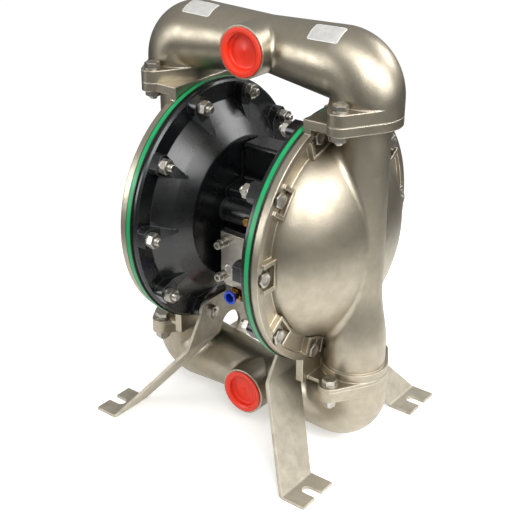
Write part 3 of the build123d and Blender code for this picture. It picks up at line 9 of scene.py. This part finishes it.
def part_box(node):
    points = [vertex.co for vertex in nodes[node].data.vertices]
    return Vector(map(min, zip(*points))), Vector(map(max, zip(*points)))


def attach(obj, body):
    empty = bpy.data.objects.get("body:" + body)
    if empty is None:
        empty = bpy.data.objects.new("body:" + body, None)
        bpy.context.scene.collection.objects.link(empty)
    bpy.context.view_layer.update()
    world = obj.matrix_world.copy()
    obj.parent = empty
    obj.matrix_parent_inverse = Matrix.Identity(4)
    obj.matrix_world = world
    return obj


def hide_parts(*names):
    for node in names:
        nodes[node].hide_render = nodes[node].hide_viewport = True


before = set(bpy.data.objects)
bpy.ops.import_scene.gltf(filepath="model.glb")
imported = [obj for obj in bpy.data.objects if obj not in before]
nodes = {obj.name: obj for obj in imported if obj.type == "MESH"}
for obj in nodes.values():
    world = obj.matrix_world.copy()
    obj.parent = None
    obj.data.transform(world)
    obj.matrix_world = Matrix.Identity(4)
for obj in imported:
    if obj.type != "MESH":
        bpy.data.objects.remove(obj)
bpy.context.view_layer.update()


# Studio
# A white board, three soft boxes that touch in an arc from above to the right, one behind and one
# at the left, and a camera a little above the pump. The board glows for the camera and the metal.

def linear(hex_colour):
    """Linear colour with alpha of an sRGB hex such as "#BFB6A6"."""
    levels = [int(hex_colour[i:i + 2], 16) / 255 for i in (1, 3, 5)]
    return (*[c / 12.92 if c <= 0.04045 else ((c + 0.055) / 1.055) ** 2.4 for c in levels], 1.0)


def add_node(tree, kind, settings=None, inputs=None):
    """Adds one node, with its settings, its values and the links from other nodes' outputs."""
    node = tree.nodes.new(kind)
    for key, value in (settings or {}).items():
        setattr(node, key, value)
    for key, value in (inputs or {}).items():
        if isinstance(value, bpy.types.NodeSocket):
            tree.links.new(value, node.inputs[key])
        else:
            node.inputs[key].default_value = value
    return node


def new_piece(name, bm, material, sharp_angle=None):
    """Object of a bmesh, at the origin, smooth apart from edges over the sharp angle."""
    mesh = bpy.data.meshes.new(name)
    bm.to_mesh(mesh)
    bm.free()
    mesh.materials.append(material)
    if sharp_angle is not None:
        mesh.shade_smooth()
        mesh.set_sharp_from_angle(angle=math.radians(sharp_angle))
    piece = bpy.data.objects.new(name, mesh)
    bpy.context.scene.collection.objects.link(piece)
    return piece


floor_size = 6.0
floor_gap = 0.0004
board_near = 0.42
board_far = 0.95
near_glow = 0.40
far_glow = 0.97
glow_in_metal = 0.25

# matt white paint, with a painted pool of light: its colour is pale by the pump and darker away from it, and
# the glow that the metal sees fades the same way, which keeps the metal's contrast
board = bpy.data.materials.new("white_painted_board")
board.use_nodes = True
tree = board.node_tree
shader = tree.nodes["Principled BSDF"]
shader.inputs["Roughness"].default_value = 0.9
place = add_node(tree, "ShaderNodeNewGeometry")
reach = add_node(tree, "ShaderNodeVectorMath", {"operation": "LENGTH"}, {0: place.outputs["Position"]})
far = add_node(tree, "ShaderNodeMapRange", {"interpolation_type": "SMOOTHSTEP"}, {
    "Value": reach.outputs["Value"], "From Min": board_near, "From Max": board_far})
# painted pool of light: the board's colour darkens away from the pump
tone = add_node(tree, "ShaderNodeMix", {"data_type": "RGBA"}, {
    "Factor": far.outputs[0], "A": linear("#F4F4F2"), "B": linear("#4A4A49")})
tree.links.new(tone.outputs["Result"], shader.inputs["Base Color"])
path = add_node(tree, "ShaderNodeLightPath")
to_camera = add_node(tree, "ShaderNodeMapRange", inputs={
    "Value": far.outputs[0], "To Min": near_glow, "To Max": far_glow})
# painted light in the metal: the board glows in reflections only near the pump
to_metal = add_node(tree, "ShaderNodeMapRange", inputs={
    "Value": far.outputs[0], "To Min": glow_in_metal, "To Max": 0.0})
in_camera = add_node(tree, "ShaderNodeMath", {"operation": "MULTIPLY"}, {
    0: path.outputs["Is Camera Ray"], 1: to_camera.outputs[0]})
strength = add_node(tree, "ShaderNodeMath", {"operation": "MULTIPLY_ADD"}, {
    0: path.outputs["Is Glossy Ray"], 1: to_metal.outputs[0], 2: in_camera.outputs[0]})
glow = add_node(tree, "ShaderNodeEmission", inputs={"Strength": strength.outputs[0]})
both = add_node(tree, "ShaderNodeAddShader", inputs={0: shader.outputs["BSDF"], 1: glow.outputs["Emission"]})
tree.links.new(both.outputs["Shader"], tree.nodes["Material Output"].inputs["Surface"])

bm = bmesh.new()
bmesh.ops.create_grid(bm, x_segments=1, y_segments=1, size=floor_size)
bmesh.ops.translate(bm, verts=bm.verts, vec=(0, 0, -floor_gap))
new_piece("floor", bm, board)

# the room is brighter above than level with the pump
room_level = 0.16
room_above = 0.50
room_in_metal = 0.1
room_top = 0.9

world = bpy.data.worlds.new("studio_room")
bpy.context.scene.world = world
world.use_nodes = True
tree = world.node_tree
path = add_node(tree, "ShaderNodeLightPath")
place = add_node(tree, "ShaderNodeTexCoord")
split = add_node(tree, "ShaderNodeSeparateXYZ", inputs={0: place.outputs["Generated"]})
height = add_node(tree, "ShaderNodeMapRange", {"clamp": True}, {
    "Value": split.outputs["Z"], "From Min": 0.0, "From Max": room_top,
    "To Min": room_level, "To Max": room_above})
in_metal = add_node(tree, "ShaderNodeMath", {"operation": "MULTIPLY"}, {
    0: path.outputs["Is Glossy Ray"], 1: room_in_metal})
seen = add_node(tree, "ShaderNodeMath", {"operation": "MAXIMUM"}, {
    0: path.outputs["Is Camera Ray"], 1: in_metal.outputs[0]})
strength = add_node(tree, "ShaderNodeMix", {"data_type": "FLOAT"}, {
    "Factor": seen.outputs[0], "A": height.outputs[0], "B": 1.0})
tree.nodes["Background"].inputs["Color"].default_value = linear("#FFFFFF")
tree.links.new(strength.outputs[0], tree.nodes["Background"].inputs["Strength"])

pump_middle = Vector((0, 0, 0.29))


def direction(azimuth, elevation):
    """Unit vector away from the pump, with its azimuth in degrees from the front to the right."""
    a, e = math.radians(azimuth), math.radians(elevation)
    return Vector((math.sin(a) * math.cos(e), -math.cos(a) * math.cos(e), math.sin(e)))


def soft_box(name, azimuth, elevation, distance, width, height, watts):
    """Area lamp that looks at the pump's middle, with its size in metres."""
    lamp = bpy.data.lights.new(name, "AREA")
    lamp.shape = "RECTANGLE"
    lamp.size = width
    lamp.size_y = height
    lamp.energy = watts
    holder = bpy.data.objects.new(name, lamp)
    bpy.context.scene.collection.objects.link(holder)
    away = direction(azimuth, elevation)
    holder.location = pump_middle + distance * away
    holder.rotation_euler = away.to_track_quat("Z", "Y").to_euler()


soft_box("right_box", azimuth=92, elevation=27, distance=1.6, width=1.0, height=0.8, watts=14)
soft_box("front_box", azimuth=56, elevation=43, distance=1.6, width=0.95, height=0.85, watts=17)
soft_box("high_box", azimuth=14, elevation=63, distance=1.6, width=0.9, height=0.7, watts=4)
soft_box("back_box", azimuth=150, elevation=36, distance=1.7, width=0.8, height=0.7, watts=10)
soft_box("left_box", azimuth=-40, elevation=14, distance=1.8, width=0.8, height=0.6, watts=10)

camera_place = (0.73448, -0.97777, 0.81882)
camera_azimuth = 37.63
camera_elevation = 25.92
camera_roll = 0.11
away = direction(camera_azimuth, camera_elevation)
right = direction(camera_azimuth + 90, 0)
facing = Matrix((right, away.cross(right), away)).transposed()
facing = facing @ Matrix.Rotation(math.radians(camera_roll), 3, "Z")
camera_data = bpy.data.cameras.new("camera")
camera_data.sensor_width = 36
camera_data.lens = 74.33
camera_data.clip_start = 0.05
camera_data.clip_end = 20
camera = bpy.data.objects.new("camera", camera_data)
bpy.context.scene.collection.objects.link(camera)
camera.matrix_world = Matrix.Translation(camera_place) @ facing.to_4x4()
bpy.context.scene.camera = camera
bpy.context.scene.view_settings.view_transform = "Standard"


# Centre body and air valve
# Cast aluminium under semi-gloss black enamel, which leaves a little orange peel and wears
# greyer on the edges. Its bushes are nylon and its seals nitrile rubber.

cloud_low = 0.35  # noise at the first cloud colour
cloud_high = 0.65
smoother = 0.03  # how far the roughness swings with the clouds
rougher = 0.04
edge_start = 0.995  # cosine of how far a rounded edge has turned
edge_full = 0.9


def finish(name, colours, roughness, metallic, grain, cloud_mm, edge_mm, wear):
    """Surface with clouds of two colours, a grain (size and depth in mm), and edges of a third.

    Each grain is drawn a few times coarser than the real one, so that it shows.
    """
    material = bpy.data.materials.new(name)
    material.use_nodes = True
    tree = material.node_tree
    shader = tree.nodes["Principled BSDF"]
    where = add_node(tree, "ShaderNodeTexCoord")
    clouds = add_node(tree, "ShaderNodeTexNoise", inputs={
        "Vector": where.outputs["Object"], "Scale": 1000 / cloud_mm, "Detail": 5.0, "Roughness": 0.6})
    patch = add_node(tree, "ShaderNodeMapRange", {"clamp": True}, {
        "Value": clouds.outputs["Fac"], "From Min": cloud_low, "From Max": cloud_high})
    tone = add_node(tree, "ShaderNodeMix", {"data_type": "RGBA"}, {
        "Factor": patch.outputs[0], "A": linear(colours[0]), "B": linear(colours[1])})
    fine = add_node(tree, "ShaderNodeTexNoise", inputs={
        "Vector": where.outputs["Object"], "Scale": 1000 / grain[0], "Detail": 3.0, "Roughness": 0.6})
    rounded = add_node(tree, "ShaderNodeBevel", {"samples": 6}, {"Radius": edge_mm / 1000})
    bump = add_node(tree, "ShaderNodeBump", inputs={
        "Distance": grain[1] / 1000, "Height": fine.outputs["Fac"], "Normal": rounded.outputs["Normal"]})
    flat = add_node(tree, "ShaderNodeNewGeometry")
    turned = add_node(tree, "ShaderNodeVectorMath", {"operation": "DOT_PRODUCT"}, {
        0: rounded.outputs["Normal"], 1: flat.outputs["Normal"]})
    rubbed = add_node(tree, "ShaderNodeMapRange", {"clamp": True}, {
        "Value": turned.outputs["Value"], "From Min": edge_start, "From Max": edge_full,
        "To Min": 0.0, "To Max": wear})
    worn = add_node(tree, "ShaderNodeMix", {"data_type": "RGBA"}, {
        "Factor": rubbed.outputs[0], "A": tone.outputs["Result"], "B": linear(colours[2])})
    gloss = add_node(tree, "ShaderNodeMapRange", inputs={
        "Value": patch.outputs[0], "To Min": roughness - smoother, "To Max": roughness + rougher})
    tree.links.new(worn.outputs["Result"], shader.inputs["Base Color"])
    tree.links.new(gloss.outputs[0], shader.inputs["Roughness"])
    tree.links.new(bump.outputs["Normal"], shader.inputs["Normal"])
    shader.inputs["Metallic"].default_value = metallic
    return material


def cover_with(material, *names):
    """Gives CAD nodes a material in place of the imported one."""
    for name in names:
        nodes[name].data.materials.clear()
        nodes[name].data.materials.append(material)


# deep black with soft reflections, over the skin of the casting
black_enamel = finish("black_enamel_on_cast_aluminium", ("#08090A", "#0D0E10", "#4C5054"),
                      roughness=0.28, metallic=0.0, grain=(2.2, 0.05), cloud_mm=24, edge_mm=1.3, wear=0.6)
shader = black_enamel.node_tree.nodes["Principled BSDF"]
shader.inputs["Coat Weight"].default_value = 0.3
shader.inputs["Coat Roughness"].default_value = 0.22
cover_with(black_enamel, "centre_body")

# a dull satin black from the mould
black_nylon = finish("moulded_black_nylon", ("#101113", "#17181A", "#2A2B2E"),
                     roughness=0.5, metallic=0.0, grain=(1.0, 0.03), cloud_mm=15, edge_mm=0.6, wear=0.3)
cover_with(black_nylon, "rod_bushes", "pilot_bushes", "spool_end_caps")

# matt and even
nitrile = finish("black_nitrile_rubber", ("#0B0B0B", "#121212", "#1E1E1E"),
                 roughness=0.6, metallic=0.0, grain=(0.8, 0.02), cloud_mm=10, edge_mm=0.4, wear=0.2)
cover_with(nitrile, "rod_seals")

# nearly a mirror, from the grinding wheel
ground_steel = finish("ground_shaft_steel", ("#B9B6AE", "#A8A59D", "#D2D0C9"),
                      roughness=0.2, metallic=1.0, grain=(0.5, 0.006), cloud_mm=10, edge_mm=0.4, wear=0.4)
cover_with(ground_steel, "pilot_rod")

# bright with a light haze, from the cutter
milled_aluminium = finish("milled_aluminium", ("#B7B3AA", "#A8A49B", "#DAD7CF"),
                          roughness=0.3, metallic=1.0, grain=(0.6, 0.01), cloud_mm=12, edge_mm=0.6, wear=0.5)
cover_with(milled_aluminium, "valve_spool")

# Pilot valve cover
# Die-cast zinc alloy, shot blasted and left bare, on a rubber gasket, with four socket screws
# on raised bosses.

# light grey and softly cloudy
cast_cover = finish("blasted_zinc_casting", ("#BDB8AE", "#A9A49A", "#DEDAD0"),
                    roughness=0.36, metallic=1.0, grain=(0.9, 0.04), cloud_mm=14, edge_mm=1.0, wear=0.5)
cover_with(cast_cover, "valve_cover")
cover_with(nitrile, "valve_cover_gasket")

# satin, with bright rounded edges from the tumbling
bright_steel = finish("tumbled_stainless_steel", ("#BEBAB1", "#A6A198", "#DDD9D1"),
                      roughness=0.36, metallic=1.0, grain=(0.7, 0.015), cloud_mm=6, edge_mm=0.6, wear=0.7)
cover_with(bright_steel, "valve_cover_screws")

# Air inlet fitting and plug
# Turned brass push-in fitting with a moulded blue acetal release collar, and a small hexagon
# plug in the valve boss.

# warm yellow, bright from the tool and paler on the edges
brass = finish("turned_brass", ("#B98D45", "#A67B37", "#D9B774"),
               roughness=0.24, metallic=1.0, grain=(0.5, 0.008), cloud_mm=6, edge_mm=0.5, wear=0.5)
cover_with(brass, "air_fitting", "brass_plug")

# strong blue with a waxy shine
blue_acetal = finish("moulded_blue_acetal", ("#1A4BD8", "#1642C4", "#3B68E8"),
                     roughness=0.25, metallic=0.0, grain=(1.0, 0.01), cloud_mm=6, edge_mm=0.5, wear=0.3)
cover_with(blue_acetal, "release_collar")

# Exhaust silencer
# Moulded can of the same black nylon as the bushes, with slots along it for the air, screwed
# into the back of the centre body.

cover_with(black_nylon, "exhaust_silencer")

# Air caps
# Cast aluminium cones in the same black enamel as the centre body, on rubber gaskets, held by
# socket screws from inside.

cover_with(black_enamel, "right_air_cap", "left_air_cap")
cover_with(nitrile, "air_cap_gaskets")
cover_with(bright_steel, "right_cap_screws", "left_cap_screws")

# Rod and diaphragms
# Ground steel rod, aluminium inner plates and steel outer plates. The diaphragms are moulded
# green elastomer, of which only the clamped bead shows, as a satin band with painted shade along both its
# edges.

cover_with(ground_steel, "main_rod", "right_outer_plate", "left_outer_plate")
cover_with(milled_aluminium, "right_inner_plate", "left_inner_plate")
cover_with(bright_steel, "rod_bolts")

bead_middle = (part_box("right_fluid_cap")[0][0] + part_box("right_air_cap")[1][0]) / 2
green_band = 0.0025  # half the width of the green between its painted dark edges
band_edge = 0.0006

# satin green, with painted shade in a dark strip at both edges of the bead
green_elastomer = finish("moulded_green_elastomer", ("#0CA35F", "#0A9456", "#2BB476"),
                         roughness=0.38, metallic=0.0, grain=(1.4, 0.02), cloud_mm=22, edge_mm=0.8, wear=0.4)
tree = green_elastomer.node_tree
shader = tree.nodes["Principled BSDF"]
worn = shader.inputs["Base Color"].links[0].from_socket
place = add_node(tree, "ShaderNodeTexCoord")
split = add_node(tree, "ShaderNodeSeparateXYZ", inputs={0: place.outputs["Object"]})
across = add_node(tree, "ShaderNodeMath", {"operation": "ABSOLUTE"}, {0: split.outputs["X"]})
from_middle = add_node(tree, "ShaderNodeMath", {"operation": "SUBTRACT"}, {
    0: across.outputs[0], 1: bead_middle})
off = add_node(tree, "ShaderNodeMath", {"operation": "ABSOLUTE"}, {0: from_middle.outputs[0]})
# painted shade: the bead's two edges are darkened where they turn into the gaps beside it
painted_edge_shade = add_node(tree, "ShaderNodeMapRange", {"clamp": True}, {
    "Value": off.outputs[0], "From Min": green_band, "From Max": green_band + band_edge})
shaded_bead = add_node(tree, "ShaderNodeMix", {"data_type": "RGBA"}, {
    "Factor": painted_edge_shade.outputs[0], "A": worn, "B": linear("#0A2418")})
tree.links.new(shaded_bead.outputs["Result"], shader.inputs["Base Color"])
cover_with(green_elastomer, "right_diaphragm", "left_diaphragm")

# Fluid caps
# Investment cast stainless steel, bead blasted to a warm satin grey. The blasting leaves a fine
# even grain, faint cloudy patches and edges that are a little brighter.

# the blasting's real grain of 0.2 mm is drawn coarser, so that it shows
cast_stainless = finish("bead_blasted_cast_stainless", ("#B2A998", "#A8A08F", "#D8D1C3"),
                        roughness=0.39, metallic=1.0, grain=(1.9, 0.17), cloud_mm=15, edge_mm=2.0, wear=0.65)
cover_with(cast_stainless, "right_fluid_cap", "left_fluid_cap")

# Chamber joint fasteners
# Cold formed stainless hexagon bolts and nuts, M10, tumbled bright. The bolts' threads end in a
# chamfered point, and are drawn coarser than the real 1.5 mm pitch so that they show.

head_flats = 0.017
head_face = 0.475 * head_flats  # radius of the flat face inside the chamfer
head_seat = 0.47 * head_flats
seat_edge = 0.0003
dish_depth = 0.0008
dish_rim = 0.36 * head_flats
dish_foot = 0.28 * head_flats
dish_middle = 0.22 * head_flats
shank = 0.005
thread_depth = 0.0008
thread_pitch = 0.0022
thread_length = 0.020
thread_end = 0.002  # left without thread before the point
point_length = 0.0008
point_start = shank - 0.0004
point_tip = shank - 0.0014
nut_bore = 0.0051
nut_countersink = 0.0004
chamfer_slope = math.tan(math.radians(30))
sides = ((1, "right"), (-1, "left"))


def solids(name):
    """Lowest and highest corner of each separate solid in a CAD node."""
    bm = bmesh.new()
    bm.from_mesh(nodes[name].data)
    bmesh.ops.remove_doubles(bm, verts=bm.verts, dist=1e-6)
    bm.verts.ensure_lookup_table()
    done = set()
    boxes = []
    for first in range(len(bm.verts)):
        if first in done:
            continue
        done.add(first)
        front = [bm.verts[first]]
        places = []
        while front:
            vert = front.pop()
            places.append(vert.co.copy())
            for edge in vert.link_edges:
                other = edge.other_vert(vert)
                if other.index not in done:
                    done.add(other.index)
                    front.append(other)
        boxes.append((Vector([min(p[i] for p in places) for i in range(3)]),
                      Vector([max(p[i] for p in places) for i in range(3)])))
    bm.free()
    return boxes


def hexagon(angle):
    """Radius of the bolt heads' hexagon at an angle."""
    sixth = math.radians(60)
    return head_flats / 2 / math.cos((angle + sixth / 2) % sixth - sixth / 2)


def skin(rows, closed=False, segments=24):
    """Bmesh of rings around Z, each given as its height and radius, or as functions of the angle."""
    bm = bmesh.new()
    ring = bmesh.ops.create_circle(bm, segments=segments, radius=1)["verts"]
    edges = bm.edges[:]
    first_edges = edges
    for number, (height, radius) in enumerate(rows):
        if number:
            grown = bmesh.ops.extrude_edge_only(bm, edges=edges)["geom"]
            ring = [item for item in grown if isinstance(item, bmesh.types.BMVert)]
            edges = [item for item in grown if isinstance(item, bmesh.types.BMEdge)
                     and item.verts[0] in ring and item.verts[1] in ring]
        for vert in ring:
            angle = math.atan2(vert.co.y, vert.co.x)
            r = radius(angle) if callable(radius) else radius
            z = height(angle) if callable(height) else height
            vert.co = (r * math.cos(angle), r * math.sin(angle), z)
    if closed:
        bmesh.ops.bridge_loops(bm, edges=first_edges + edges)
    else:
        bmesh.ops.contextual_create(bm, geom=first_edges)
        bmesh.ops.contextual_create(bm, geom=edges)
    bmesh.ops.recalc_face_normals(bm, faces=bm.faces)
    return bm


def hex_bolt(head_height, length):
    """Hexagon bolt along Z with a dished head, with its head's seat at zero."""
    rows = [
        (head_height - dish_depth, dish_middle),
        (head_height - dish_depth, dish_foot),
        (head_height, dish_rim),
        (head_height, head_face),
        (lambda a: head_height - (hexagon(a) - head_face) * chamfer_slope, hexagon),
        (seat_edge, hexagon),
        (0.0, head_seat),
        (0.0, shank),
        (thread_length - length, shank),
    ]
    turns = int((thread_length - thread_end) / thread_pitch)
    for turn in range(turns):
        top = thread_length - length - turn * thread_pitch
        rows.append((top - thread_pitch / 2, shank - thread_depth))
        rows.append((top - thread_pitch, shank))
    rows.append((-length + point_length, point_start))
    rows.append((-length, point_tip))
    return skin(rows)


def hex_nut(height):
    """Nut along Z with a chamfer at both ends, from zero to its height."""
    return skin([
        (0.0, nut_bore),
        (0.0, head_face),
        (lambda a: (hexagon(a) - head_face) * chamfer_slope, hexagon),
        (lambda a: height - (hexagon(a) - head_face) * chamfer_slope, hexagon),
        (height, head_face),
        (height, nut_bore + nut_countersink),
        (height - nut_countersink, nut_bore),
    ], closed=True)


def place_copies(name, part, places, node):
    """One piece of copies of a bmesh, turned and moved by matrices, that stands for a CAD node."""
    pattern = bpy.data.meshes.new("pattern")
    part.to_mesh(pattern)
    part.free()
    bm = bmesh.new()
    for matrix in places:
        before = len(bm.verts)
        bm.from_mesh(pattern)
        bm.verts.ensure_lookup_table()
        bmesh.ops.transform(bm, matrix=matrix, verts=bm.verts[before:])
    bpy.data.meshes.remove(pattern)
    piece = new_piece(name, bm, bright_steel, 32)
    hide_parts(node)
    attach(piece, "housing")


def along_x(x, low, high, side, turn):
    """Placement with Z along X towards a side, at the middle of a solid's box."""
    facing = Matrix.Rotation(math.radians(90 * side), 4, "Y")
    facing = facing @ Matrix.Rotation(math.radians(turn), 4, "Z")
    return Matrix.Translation((x, (low.y + high.y) / 2, (low.z + high.z) / 2)) @ facing


bolt_head = 0.0064
chamber_bolt_length = 0.050
nut_height = 0.008

# each head and nut stops at its own angle, as they do when they are tightened
for side, word in sides:
    places = []
    for number, (low, high) in enumerate(solids(word + "_chamber_bolts")):
        head_top = max(low.x * side, high.x * side)
        places.append(along_x(side * (head_top - bolt_head), low, high, side, 17 + 41 * number))
    bolt = hex_bolt(bolt_head, chamber_bolt_length)
    place_copies(word + "_hex_bolts", bolt, places, word + "_chamber_bolts")
    places = []
    for number, (low, high) in enumerate(solids(word + "_chamber_nuts")):
        inner = min(low.x * side, high.x * side)
        places.append(along_x(side * inner, low, high, side, 5 + 37 * number))
    place_copies(word + "_hex_nuts", hex_nut(nut_height), places, word + "_chamber_nuts")
cover_with(bright_steel, "right_chamber_washers", "left_chamber_washers")

# Bolt pockets
# Each pocket of the fluid caps' flanges, round a bolt head, is closed towards the dome by a short
# straight wall. It is part of the casting and has its blasted finish.

wall_length = 0.037
wall_height = 0.0078
wall_thickness = 0.0036
wall_radius = 0.1285
wall_seat = 0.0015  # under the bolt head's seat, on the flange
wall_round = 0.0008

for side, word in sides:
    low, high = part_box(word + "_diaphragm")
    axis_z = (low[2] + high[2]) / 2
    bm = bmesh.new()
    for low, high in solids(word + "_chamber_bolts"):
        head_top = max(low.x * side, high.x * side)
        angle = math.atan2((low.z + high.z) / 2 - axis_z, (low.y + high.y) / 2)
        before = len(bm.verts)
        bmesh.ops.create_cube(bm, size=1)
        bm.verts.ensure_lookup_table()
        wall = bm.verts[before:]
        bmesh.ops.scale(bm, verts=wall, vec=(wall_height, wall_thickness, wall_length))
        turn = Matrix.Rotation(angle, 4, "X")
        seat = side * (head_top - bolt_head - wall_seat + wall_height / 2)
        spot = (seat, wall_radius * math.cos(angle), axis_z + wall_radius * math.sin(angle))
        bmesh.ops.transform(bm, matrix=Matrix.Translation(spot) @ turn, verts=wall)
    bmesh.ops.bevel(bm, geom=bm.edges[:], offset=wall_round, segments=2,
                    affect="EDGES", profile=0.5, material=-1)
    walls = new_piece(word + "_pocket_walls", bm, cast_stainless, 40)
    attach(walls, "housing")

# Check valves
# Moulded white elastomer balls on machined stainless seats, with rubber rings in the joints.

# milky and satin
elastomer_ball = finish("moulded_white_elastomer", ("#D9D6CC", "#CECBC0", "#E6E4DC"),
                        roughness=0.5, metallic=0.0, grain=(1.0, 0.01), cloud_mm=20, edge_mm=0.4, wear=0.2)
cover_with(elastomer_ball, "right_outlet_ball", "left_outlet_ball", "right_inlet_ball", "left_inlet_ball")
cover_with(ground_steel, "right_outlet_seat", "left_outlet_seat", "right_inlet_seat", "left_inlet_seat")
cover_with(nitrile, "joint_rings")

# Manifolds
# The same bead-blasted stainless castings as the fluid caps.

cover_with(cast_stainless, "outlet_manifold", "inlet_manifold")

# Manifold fasteners
# The same bolts and nuts in shorter lengths, upright in the ears of the four joints.

def upright(z, low, high, turn):
    """Placement with Z upwards, at the middle of a solid's box."""
    middle = ((low.x + high.x) / 2, (low.y + high.y) / 2, z)
    return Matrix.Translation(middle) @ Matrix.Rotation(math.radians(turn), 4, "Z")


for word, length in (("outlet", 0.040), ("inlet", 0.035)):
    places = [upright(high.z - bolt_head, low, high, 9 + 31 * number)
              for number, (low, high) in enumerate(solids(word + "_bolts"))]
    place_copies(word + "_hex_bolts", hex_bolt(bolt_head, length), places, word + "_bolts")
    places = [upright(low.z, low, high, 22 + 29 * number)
              for number, (low, high) in enumerate(solids(word + "_nuts"))]
    place_copies(word + "_hex_nuts", hex_nut(nut_height), places, word + "_nuts")
cover_with(bright_steel, "outlet_washers", "inlet_washers")

# Blank foil labels
# Two stickers of silver-white polyester foil on the outlet manifold, left without print. They
# are bent round the tube and stand out by their own thickness.

foil_thickness = 0.00025
label_length = 0.041
label_height = 0.028
label_corner = 0.003
label_border = 0.0012
label_bend = 0.040  # radius of the tube's outside
label_glue = 0.00005
label_probe = 0.08  # from the tube's axis, outside its skin

# silvery, with a dull sheen
foil = finish("silver_white_polyester_foil", ("#CDCCC8", "#BFBEBA", "#E2E1DE"),
              roughness=0.45, metallic=0.25, grain=(1.2, 0.01), cloud_mm=8, edge_mm=0.1, wear=0.3)

# the unprinted rim is whiter
rim_foil = finish("white_polyester_foil_edge", ("#E2E1DD", "#DAD9D5", "#ECEBE8"),
                  roughness=0.4, metallic=0.0, grain=(1.2, 0.01), cloud_mm=8, edge_mm=0.1, wear=0.3)

bm = bmesh.new()
bm.from_mesh(nodes["outlet_manifold"].data)
tube_skin = BVHTree.FromBMesh(bm)
bm.free()
tube_axis_z = (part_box("outlet_plug")[0][2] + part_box("outlet_plug")[1][2]) / 2

for name, middle_x, tilt in (("right_label", 0.0935, 57), ("left_label", -0.091, 63)):
    bm = bmesh.new()
    bmesh.ops.create_grid(bm, x_segments=36, y_segments=26, size=0.5)
    bmesh.ops.scale(bm, verts=bm.verts, vec=(label_length, label_height, 1))
    for vert in bm.verts:
        # the corners are drawn in to a round
        over = Vector((max(abs(vert.co.x) - label_length / 2 + label_corner, 0),
                       max(abs(vert.co.y) - label_height / 2 + label_corner, 0)))
        if over.length > label_corner:
            pull = over * (1 - label_corner / over.length)
            vert.co.x -= math.copysign(pull.x, vert.co.x)
            vert.co.y -= math.copysign(pull.y, vert.co.y)
    for face in bm.faces:
        middle = face.calc_center_median()
        inside = (abs(middle.x) < label_length / 2 - label_border
                  and abs(middle.y) < label_height / 2 - label_border)
        face.material_index = 0 if inside else 1
    for vert in bm.verts:
        angle = math.radians(tilt) + vert.co.y / label_bend
        out = Vector((0, -math.cos(angle), math.sin(angle)))
        start = Vector((middle_x + vert.co.x, 0, tube_axis_z)) + label_probe * out
        hit = tube_skin.ray_cast(start, -out)
        vert.co = hit[0] + out * label_glue
    bmesh.ops.recalc_face_normals(bm, faces=bm.faces)
    if bm.faces[0].normal.z < 0:
        bmesh.ops.reverse_faces(bm, faces=bm.faces)
    bmesh.ops.solidify(bm, geom=bm.faces[:], thickness=-foil_thickness)
    bmesh.ops.recalc_face_normals(bm, faces=bm.faces)
    label = new_piece(name, bm, foil, 40)
    label.data.materials.append(rim_foil)
    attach(label, "housing")

# Transport plugs
# Push-in caps of moulded red polyethylene in both ports: a rounded flange on the rim, which
# slopes into a recess with a soft corner and a small gate mark in the middle.

plug_radius = 0.029
plug_flange = 0.002
plug_shank = 0.0221
plug_length = 0.017
recess_radius = 0.0212
recess_depth = 0.009
recess_corner = 0.003
rim_radius = 0.0242
rim_round = 0.0009
slope_depth = 0.0019
slope_edge = 0.0004
slope_top = 0.0003
gate_height = 0.0004
gate_top = 0.0012
gate_foot = 0.0018

# bright red and softly shiny
red_polyethylene = finish("moulded_red_polyethylene", ("#EC3A20", "#E43016", "#F5603F"),
                          roughness=0.40, metallic=0.0, grain=(1.6, 0.03), cloud_mm=18, edge_mm=0.3, wear=0.4)


def quarter(height, radius, bend, first, last):
    """Rows of a quarter round about a middle, from one angle to another in degrees."""
    angles = [math.radians(first + (last - first) * step / 5) for step in range(6)]
    return [(height + bend * math.sin(a), radius + bend * math.cos(a)) for a in angles]


def push_plug():
    """Plug along Z, with the front of its flange at zero."""
    rows = [(-recess_depth + gate_height, gate_top), (-recess_depth, gate_foot)]
    rows += quarter(-recess_depth + recess_corner, recess_radius - recess_corner, recess_corner, -90, 0)
    rows += [(-slope_depth, recess_radius), (slope_edge - slope_depth, recess_radius + slope_edge)]
    rows += [(-slope_top, rim_radius - slope_edge), (0.0, rim_radius)]
    rows += quarter(-rim_round, plug_radius - rim_round, rim_round, 90, 0)
    rows += [(-plug_flange, plug_radius), (-plug_flange, plug_shank), (-plug_length, plug_shank)]
    return skin(rows, segments=72)


for word in ("outlet", "inlet"):
    low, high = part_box(word + "_plug")
    bm = push_plug()
    front = Matrix.Translation(((low[0] + high[0]) / 2, low[1], (low[2] + high[2]) / 2))
    bmesh.ops.transform(bm, matrix=front @ Matrix.Rotation(math.radians(90), 4, "X"), verts=bm.verts)
    plug = new_piece(word + "_push_plug", bm, red_polyethylene, 35)
    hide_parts(word + "_plug")
    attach(plug, word + "_transport_plug")

# Feet
# Stainless plate, laser cut and bent, left as rolled: a dull grey with faint clouds, and edges
# that the cutting left brighter.

rolled_plate = finish("rolled_stainless_plate", ("#C6BFB0", "#B5AE9F", "#DED8CA"),
                      roughness=0.64, metallic=1.0, grain=(0.9, 0.05), cloud_mm=18, edge_mm=1.0, wear=0.6)
cover_with(rolled_plate, "right_foot", "left_foot")
